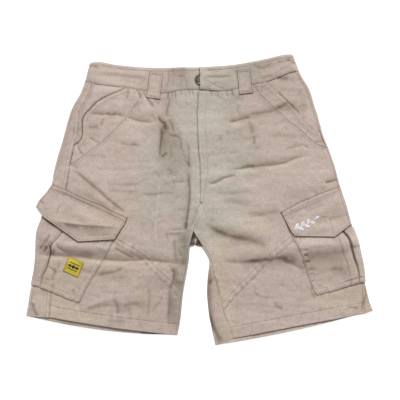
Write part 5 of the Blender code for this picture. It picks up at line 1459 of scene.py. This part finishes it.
def makePatch():
    u, v = [(packed(share, 0.3) - 0.5) * patch["across"] for share in shares(34, 34)]
    x, y = np.moveaxis(patchSpot(u, -v), -1, 0)
    under = topOf(surfaces("cargoPocketRight"), x, y)
    rim = patch["across"] / 2 - np.maximum(np.abs(u), np.abs(v))
    z = np.maximum(softened(under, 5), under) + patch["wall"] + 0.2
    z += 0.35 * bell((rim - 1.4) / 1.2) - 0.3 * bell(rim / 0.5) + 0.15 * softNoise(x, y, 9, 81)
    mesh = gridMesh((x, y, z, u, -v), 4.0, rims=dict(start=0.6, end=0.6, top=0.6, bottom=0.9))
    sheetPiece("pocketPatch", [mesh], ["pocket_patch"], ["cargoPocketRight"], slot="patch_weave",
               wall=patch["wall"])


def makeButton():
    wide, tall, (x, y) = button["radius"] * mm, button["height"] * mm, button["at"]
    base = faceHeight() + button["gap"] + 0.6
    bm = bmesh.new()
    points = [bm.verts.new((r * wide, 0, z * tall)) for r, z in button["profile"]]
    edges = [bm.edges.new(pair) for pair in zip(points, points[1:])]
    bmesh.ops.spin(bm, geom=points + edges, cent=(0, 0, 0), axis=(0, 0, 1), angle=math.tau, steps=72,
                   use_merge=True)
    bmesh.ops.remove_doubles(bm, verts=bm.verts, dist=0.01 * mm)
    bmesh.ops.recalc_face_normals(bm, faces=bm.faces)
    bmesh.ops.translate(bm, verts=bm.verts, vec=(x * mm, y * mm, base * mm))
    mesh = meshOf(bm, "waistButton")
    mesh.shade_smooth()
    ownPiece("waistButton", mesh, "button_metal", "button")


def layContacts():
    for name, half in halves.items():
        pocket, flap = cargoPockets[name.capitalize()], pocketFlaps[name.capitalize()]
        bottom = [line[-1] for line in pocket["lines"]]
        bottom.append((float(atY(half["edge"], pocket["outer"][1])), pocket["outer"][1]))
        inner, outer = smoothLine(flap["inner"], 40), smoothLine(flap["outer"], 40)
        contacts.extend([
            (2.1, half["kneeLine"], 1, 0.45),
            (2.3, half["bandLine"], 1, 0.15),
            (2.9, smoothLine(pocket["lines"][0], 60), 0.7, 0.4),
            (2.9, evenLine(bottom, 40), 0.7, 0.4),
            (3.9, smoothLine(flap["top"], 50), 1, 1.6),
            (3.9, evenLine([outer[-1], flap["tip"], flap["corner"], inner[-1]], 60), 1.3, 2.3),
            (3.9, inner, 1.5, 2.3),
        ])
    angle = np.linspace(0.5, 1.5, 17) * math.pi
    contacts.extend([
        (1.5, halves["right"]["mouthLine"], 1.9, 2.6),
        (1.5, halves["left"]["mouthLine"], 1, 0.6),
        (1.5, smoothLine([(150, 204), (163, 191), (187, 167)], 20), 1.8, 1.9),
        (0.5, halves["right"]["seam"][::8], 1.2, 0.5),
        (3.9, smoothLine([(-300, -30), (-290, -38), (-272, -49)], 20), 2.8, 2.6),
        (2.9, bandBottom[::4], 1, 0.9),
        (2.7, smoothLine(fly["edge"], 60), 1.4, 1.4),
        (3.9, evenLine(patch["corners"] + patch["corners"][:1], 60), 0.9, 0.9),
        (3.9, button["at"] + button["radius"] * np.column_stack([np.cos(angle), np.sin(angle)]), 1.6, 1.6),
    ])
    for a, b in np.array(list(loops["front"].values()), float):
        along = (b - a) / np.hypot(*(b - a))
        right = np.array([-along[1], along[0]]) * loops["width"] / 2
        for ends, reach, depth in (((a - right, b - right), 1.3, 1.8), ((a + right, b + right), 1.2, 1.2),
                                   ((b - right, b + right), 1.7, 2.6), ((a - right, a + right), 1.1, 0.8)):
            contacts.append((3.9, evenLine(ends, 20), reach, depth))


layContacts()
smoothFolds(*[table[name]["folds"] for table in (pocketFlaps, cargoPockets) for name in ("Right", "Left")])
smoothFolds(frontFolds, backFolds, bandFolds, lightAndShadeMarks, greenMarks, strawMarks)
print("making the panels")
for name, half in halves.items():
    backPiece(name.capitalize(), half)
    frontPieces(name.capitalize(), half)
print("making the waistband, loops, fly and pockets")
makeWaistband()
makeLoops()
makeFly()
for name in ("Right", "Left"):
    makePocket(name)
    makeFlap(name)
makePatch()
makeButton()

thread = dict(length=2.7, pitch=3.5, radius=0.36, lift=0.12)
# a small leaf sprig in satin stitch on the flap
sprig = dict(
    stem=[(178, -55), (189, -51.5), (201, -46.5), (212, -40.5), (219, -36)],
    leaves=[(0.08, 1, 13), (0.20, -1, 13), (0.34, 1, 12.5), (0.48, -1, 12), (0.62, 1, 11),
            (0.76, -1, 10), (1, 0, 10)],
    spread=40,          # leaf's turn away from the stem, in degrees
    fullness=0.26,      # half a leaf's width over its length
    pitch=0.62,
    radius=0.42,
)


def layStitches(name, on, marks, radius, slot="canvas"):
    # one small stitch, copied to every mark: its middle, its way, its length and whether it shows from above
    bm = bmesh.new()
    bmesh.ops.create_icosphere(bm, subdivisions=1, radius=1.0)
    shape = meshOf(bm, "stitch")
    corners = np.array([v.co[:] for v in shape.vertices])
    faces = np.array([p.vertices[:] for p in shape.polygons])
    bpy.data.meshes.remove(shape)
    tree = surfaces(on)[0]
    middles, turns = [], []
    for x, y, dx, dy, length, upward in marks:
        way = 1 if upward else -1
        hit, normal = tree.ray_cast(Vector((x * mm, y * mm, 0.05 * way)), Vector((0, 0, -way)))[:2]
        if hit is None or abs(normal.z) < 0.5:
            continue
        along = Vector((dx, dy, 0)).normalized()
        along = (along - normal * along.dot(normal)).normalized()
        middles.append(hit + normal * thread["lift"] * mm)
        axes = Matrix((along, normal.cross(along), normal)).transposed()
        turns.append(axes @ Matrix.Diagonal(Vector((length / 2, radius, radius * 0.8)) * mm))
    turns = np.array([[list(row) for row in turn] for turn in turns])
    points = np.einsum("nij,kj->nki", turns, corners) + np.array([list(p) for p in middles])[:, None]
    index = faces[None] + (np.arange(len(middles)) * len(corners))[:, None, None]
    mesh = bpy.data.meshes.new(name)
    mesh.from_pydata(points.reshape(-1, 3).tolist(), [], index.reshape(-1, 3).tolist())
    mesh.shade_smooth()
    piece = ownPiece(name, mesh, slot)
    threads.setdefault(on, []).append(piece)
    return piece


def makeSeamStitches():
    marks = {}
    for name, line, upward in stitching:
        count = int(lineRun(line)[-1] / thread["pitch"])
        if count < 2:
            continue
        ends = evenLine(line, count)
        marks.setdefault(name, []).extend(
            (*(a + b) / 2, *(b - a), thread["length"], upward) for a, b in zip(ends, ends[1:]))
    return [layStitches("stitches" + name[0].upper() + name[1:], name, rows, thread["radius"])
            for name, rows in marks.items()]


def satinLeaf(x, y, degrees, length):
    # stitches slant from the midrib to either edge
    marks = []
    a = math.radians(degrees)
    for u in np.arange(sprig["pitch"], length, sprig["pitch"]) / length:
        width = sprig["fullness"] * length * math.sin(math.pi * u ** 0.8) + 0.5
        mx, my = x + math.cos(a) * u * length * 0.9, y + math.sin(a) * u * length * 0.9
        for side in (-1, 1):
            b = a + side * math.radians(52)
            dx, dy = math.cos(b), math.sin(b)
            marks.append((mx + dx * width / 2, my + dy * width / 2, dx, dy, width * 1.15, True))
    return marks


def makeSprig():
    stem = smoothLine(sprig["stem"], 80)
    way = np.gradient(stem, axis=0)
    marks = [(*p, *w, 1.7, True) for p, w in zip(stem, way)]
    marks += [(x + 0.2, y - 0.5, dx, dy, length, up) for x, y, dx, dy, length, up in marks[:50]]
    for share, side, length in sprig["leaves"]:
        k = int(share * 80)
        degrees = math.degrees(math.atan2(way[k][1], way[k][0])) + side * sprig["spread"]
        marks += satinLeaf(*stem[k], degrees, length)
    return layStitches("flapSprig", "pocketFlapLeft", marks, sprig["radius"])


def patchMark(u, v, du, dv, length):
    middle = patchSpot(u, v)
    return (*middle, *(patchSpot(u + du, v + dv) - middle), length, True)


def makePatchStitches():
    rim, half, level = patch["rim"], patch["lineHalf"], patch["lineAt"]
    border, motif = [], []
    for k in np.arange(-rim, rim + 0.01, patch["pitch"]):
        border += [patchMark(k, edge, 0.1, 1, 1.9) for edge in (rim, -rim)]
        border += [patchMark(edge, k, 1, 0.1, 1.9) for edge in (rim, -rim)]
    for middle, wide, tall in patch["lozenges"]:
        for u in np.arange(-wide, wide + 0.01, 0.42):
            motif.append(patchMark(middle + u, 0, 0.08, 1, tall * (1 - abs(u) / wide) + 0.8))
    for u in np.arange(-half, half, 1.3):
        for v in (-level, level):
            motif += [patchMark(u + 0.6, v, 1, 0, 1.7), patchMark(u, v + 0.6, 1, 0, 1.7)]
    return (layStitches("patchBorder", "pocketPatch", border, 0.34, "patch_weave"),
            layStitches("patchMotif", "pocketPatch", motif, 0.45, "patch_weave"))


print("sewing")
seamThreads = makeSeamStitches()
whiteSprig = makeSprig()
patchBorder, patchMotif = makePatchStitches()

canvas = dict(
    light=(0.606, 0.491, 0.433, 1),
    middle=(0.522, 0.419, 0.368, 1),
    dark=(0.235, 0.176, 0.136, 1),
    green=(0.925, 1.035, 1.010, 1),
    straw=(1.010, 1.020, 0.930, 1),
    # lighter tone: painted light, and wear on the ridges
    wearAndPaintedLight=(0.66, 0.56, 0.49, 1),
    # near black: the painted shadow in the deepest gaps
    gapShadow=(0.040, 0.024, 0.015, 1),
    thread=(0.30, 0.235, 0.19, 1),
    yarn=0.00062,
    roughness=0.9,
)


class Finish:
    # a material and the few kinds of node that the finishes share
    def __init__(self, name, **looks):
        self.material = bpy.data.materials.new(name)
        self.material.use_nodes = True
        self.tree = self.material.node_tree
        self.surface = self.tree.nodes["Principled BSDF"]
        for socket, value in looks.items():
            self.surface.inputs[socket.replace("_", " ")].default_value = value

    def put(self, kind, feeds=(), out=0, **values):
        node = self.tree.nodes.new(kind)
        for key, value in values.items():
            setattr(node, key, value)
        for socket, value in feeds:
            if isinstance(value, bpy.types.NodeSocket):
                self.tree.links.new(value, node.inputs[socket])
            else:
                node.inputs[socket].default_value = value
        return node.outputs[out]

    def maths(self, operation, a, b=0.0, clamp=False):
        return self.put("ShaderNodeMath", [(0, a), (1, b)], operation=operation, use_clamp=clamp)

    def times(self, a, b, clamp=False):
        return self.maths("MULTIPLY", a, b, clamp)

    def plus(self, a, b):
        return self.maths("ADD", a, b)

    def noise(self, vector, scale, detail=3.0, roughness=0.55):
        feeds = [("Vector", vector), ("Scale", scale), ("Detail", detail), ("Roughness", roughness)]
        return self.put("ShaderNodeTexNoise", feeds)

    def mapped(self, vector, scale=(1, 1, 1), place=(0, 0, 0)):
        return self.put("ShaderNodeMapping", [("Vector", vector), ("Scale", scale), ("Location", place)])

    def ramp(self, value, low, high):
        return self.put("ShaderNodeMapRange", [("Value", value), ("From Min", low), ("From Max", high)])

    def mix(self, factor, a, b, blend="MIX"):
        feeds = [(0, factor), (6, a), (7, b)]
        return self.put("ShaderNodeMix", feeds, out=2, data_type="RGBA", blend_type=blend)

    def where(self):
        return self.put("ShaderNodeTexCoord", out="Object")

    def cloth(self):
        return self.put("ShaderNodeUVMap", uv_map="cloth")

    def relief(self, height, strength, distance):
        feeds = [("Height", height), ("Strength", strength), ("Distance", distance)]
        self.tree.links.new(self.put("ShaderNodeBump", feeds), self.surface.inputs["Normal"])

    def paint(self, socket, value):
        self.tree.links.new(value, self.surface.inputs[socket])

    def weave(self, yarn):
        # height of a plain weave, over one and under one
        axes = self.put("ShaderNodeSeparateXYZ", [(0, self.cloth())]).node.outputs
        return self.times(*[self.maths("SINE", self.times(axis, math.pi / yarn)) for axis in axes[:2]])


def canvasMaterial():
    looks = Finish("laidCanvas", Roughness=canvas["roughness"], Specular_IOR_Level=0.25, Sheen_Weight=0.18,
                   Sheen_Roughness=0.5)
    where, cloth = looks.where(), looks.cloth()

    # what lies on the table stays plain
    above = looks.ramp(looks.put("ShaderNodeSeparateXYZ", [(0, where)], out="Z"), 0.0004, 0.0010)

    def marked(name):
        return looks.times(looks.put("ShaderNodeAttribute", out="Fac", attribute_name=name), above)

    # casts in soft patches; painted shade in the hollows and along the shade marks, a painted highlight with
    # some wear on the ridges, painted light where the marks are below nought, and a painted shadow in the
    # deepest gaps
    patches = looks.plus(looks.times(looks.ramp(looks.noise(where, 14, 4), 0.34, 0.62), 0.5), 0.65)
    tone = looks.ramp(looks.noise(looks.mapped(where, (1, 1.6, 1)), 70, 6, 0.62), 0.34, 0.66)
    colour = looks.mix(tone, canvas["middle"], canvas["light"])
    blotch = looks.noise(looks.mapped(where, (1, 1.5, 1)), 120, 4, 0.62)
    # painted shade, broken up by a blotchy noise
    blotchedShade = looks.times(marked("shade"), looks.plus(looks.times(blotch, 0.8), 0.6))
    colour = looks.mix(looks.times(blotchedShade, 0.66, True), colour, canvas["dark"])
    for key, share, tint in (("hollow", 0.66, "dark"), ("hollow", -0.46, "wearAndPaintedLight"), ("shade", -0.9, "wearAndPaintedLight")):
        colour = looks.mix(looks.times(marked(key), share, True), colour, canvas[tint])
    for cast in ("green", "straw"):
        share = looks.times(marked(cast), patches, True)
        colour = looks.mix(share, colour, canvas[cast], "MULTIPLY")
    # painted shadow: where the painted shade is deepest it runs towards near black
    deep = looks.times(looks.maths("SUBTRACT", marked("shade"), 0.95), 0.75, True)
    colour = looks.mix(deep, colour, canvas["gapShadow"])

    # slubs along both yarns, and a fine mottle
    weft = looks.ramp(looks.noise(looks.mapped(cloth, (90, 620, 1)), 1.0, 2), 0.42, 0.66)
    warp = looks.ramp(looks.noise(looks.mapped(cloth, (620, 90, 1), (3, 7, 0)), 1.0, 2), 0.42, 0.66)
    slub = looks.plus(weft, warp)
    fleck = looks.noise(cloth, 620, 3, 0.7)
    mottle = looks.ramp(looks.noise(looks.mapped(cloth, (1, 1.4, 1), (5, 2, 0)), 330, 3, 0.7), 0.36, 0.64)
    grainy = looks.plus(looks.times(slub, 0.22), looks.times(fleck, 0.75))
    grainy = looks.plus(grainy, looks.times(mottle, 0.45))
    colour = looks.mix(looks.ramp(grainy, 0.15, 1.15), looks.mix(0.62, colour, canvas["dark"]), colour)
    looks.paint("Base Color", colour)
    height = looks.plus(looks.times(looks.weave(canvas["yarn"]), 0.35), looks.times(slub, 0.9))
    looks.relief(looks.plus(height, looks.times(fleck, 0.6)), 0.55, 0.00022)
    return looks.material


def threadMaterial(name, light, dark, shine):
    # twisted thread: fine bands over each stitch
    looks = Finish(name, Roughness=0.62, Specular_IOR_Level=0.35, Sheen_Weight=shine)
    where = looks.where()
    strands = looks.ramp(looks.noise(looks.mapped(where, (1, 1, 0.4)), 2600, 2), 0.35, 0.65)
    patches = looks.ramp(looks.noise(where, 160, 2), 0.3, 0.7)
    looks.paint("Base Color", looks.mix(looks.times(strands, patches), light, dark))
    looks.relief(strands, 0.4, 0.0001)
    return looks.material


def patchMaterial():
    looks = Finish("patchWeave", Roughness=0.6, Specular_IOR_Level=0.3, Sheen_Weight=0.15)
    cloth = looks.cloth()
    rib = looks.weave(0.0006)
    fade = looks.ramp(looks.noise(cloth, 120, 3), 0.3, 0.7)
    grain = looks.ramp(looks.noise(looks.mapped(cloth, (1, 3, 1)), 700, 2), 0.35, 0.65)
    colour = looks.mix(fade, (0.50, 0.395, 0.030, 1), (0.60, 0.49, 0.050, 1))
    colour = looks.mix(looks.times(grain, 0.22), colour, (0.30, 0.22, 0.02, 1))
    looks.paint("Base Color", colour)
    looks.relief(looks.plus(rib, grain), 0.5, 0.00016)
    return looks.material


def metalMaterial():
    looks = Finish("darkMetal", Metallic=0.85)
    where = looks.where()
    rub = looks.ramp(looks.noise(where, 420, 5, 0.65), 0.42, 0.64)
    brushed = looks.noise(looks.mapped(where, (1, 6, 1)), 900, 2)
    looks.paint("Base Color", looks.mix(rub, (0.075, 0.066, 0.064, 1), (0.21, 0.18, 0.165, 1)))
    looks.paint("Roughness", looks.plus(looks.times(brushed, 0.22), 0.3))
    looks.relief(rub, 0.25, 0.0001)
    return looks.material


def tableMaterial():
    looks = Finish("paleTable", Roughness=0.95, Emission_Strength=0.88, Emission_Color=(1, 1, 1, 1))
    grain = looks.ramp(looks.noise(looks.where(), 30, 4), 0.3, 0.7)
    looks.paint("Base Color", looks.mix(grain, (0.25, 0.25, 0.25, 1), (0.27, 0.27, 0.27, 1)))
    return looks.material


def dress(some, material):
    for piece in some:
        piece.data.materials.append(material)


dress([pieces[name] for name in cloths if name != "pocketPatch"], canvasMaterial())
dress(seamThreads, threadMaterial("sewingThread", canvas["thread"], (0.17, 0.13, 0.10, 1), 0.1))
dress([whiteSprig], threadMaterial("whiteThread", (0.86, 0.85, 0.90, 1), (0.62, 0.61, 0.68, 1), 0.25))
dress([patchBorder], threadMaterial("yellowThread", (0.46, 0.36, 0.030, 1), (0.27, 0.20, 0.02, 1), 0.1))
dress([patchMotif], threadMaterial("blackThread", (0.020, 0.019, 0.017, 1), (0.010, 0.010, 0.010, 1), 0.05))
dress([pieces["pocketPatch"]], patchMaterial())
dress([pieces["waistButton"]], metalMaterial())

bm = bmesh.new()
bmesh.ops.create_grid(bm, x_segments=1, y_segments=1, size=6.0)
table = placed("table", meshOf(bm, "table"))
dress([table], tableMaterial())
for name, (width, length, area, restsOn) in cloths.items():
    length = max(length, area / width)

camera = bpy.data.cameras.new("camera")
camera.lens = 85
camera.sensor_width = 36
eye = placed("camera", camera)
eye.location = (0.0008, 0.0, 0.76 * camera.lens / camera.sensor_width + 0.005)
scene = bpy.context.scene
scene.camera = eye
scene.view_settings.view_transform = "Standard"

sun = bpy.data.lights.new("window", "SUN")
sun.energy = 2.75
sun.angle = math.radians(14)
placed("window", sun).rotation_euler = (math.radians(-52), 0, math.radians(-6))
panel = bpy.data.lights.new("panel", "AREA")
panel.energy = 2.2
panel.size = 0.7
placed("panel", panel).location = (-0.05, 0.36, 0.9)
scene.world = bpy.data.worlds.new("studio")
scene.world.use_nodes = True
sky = scene.world.node_tree.nodes["Background"].inputs
sky["Color"].default_value = (1, 1, 1, 1)
sky["Strength"].default_value = 0.34
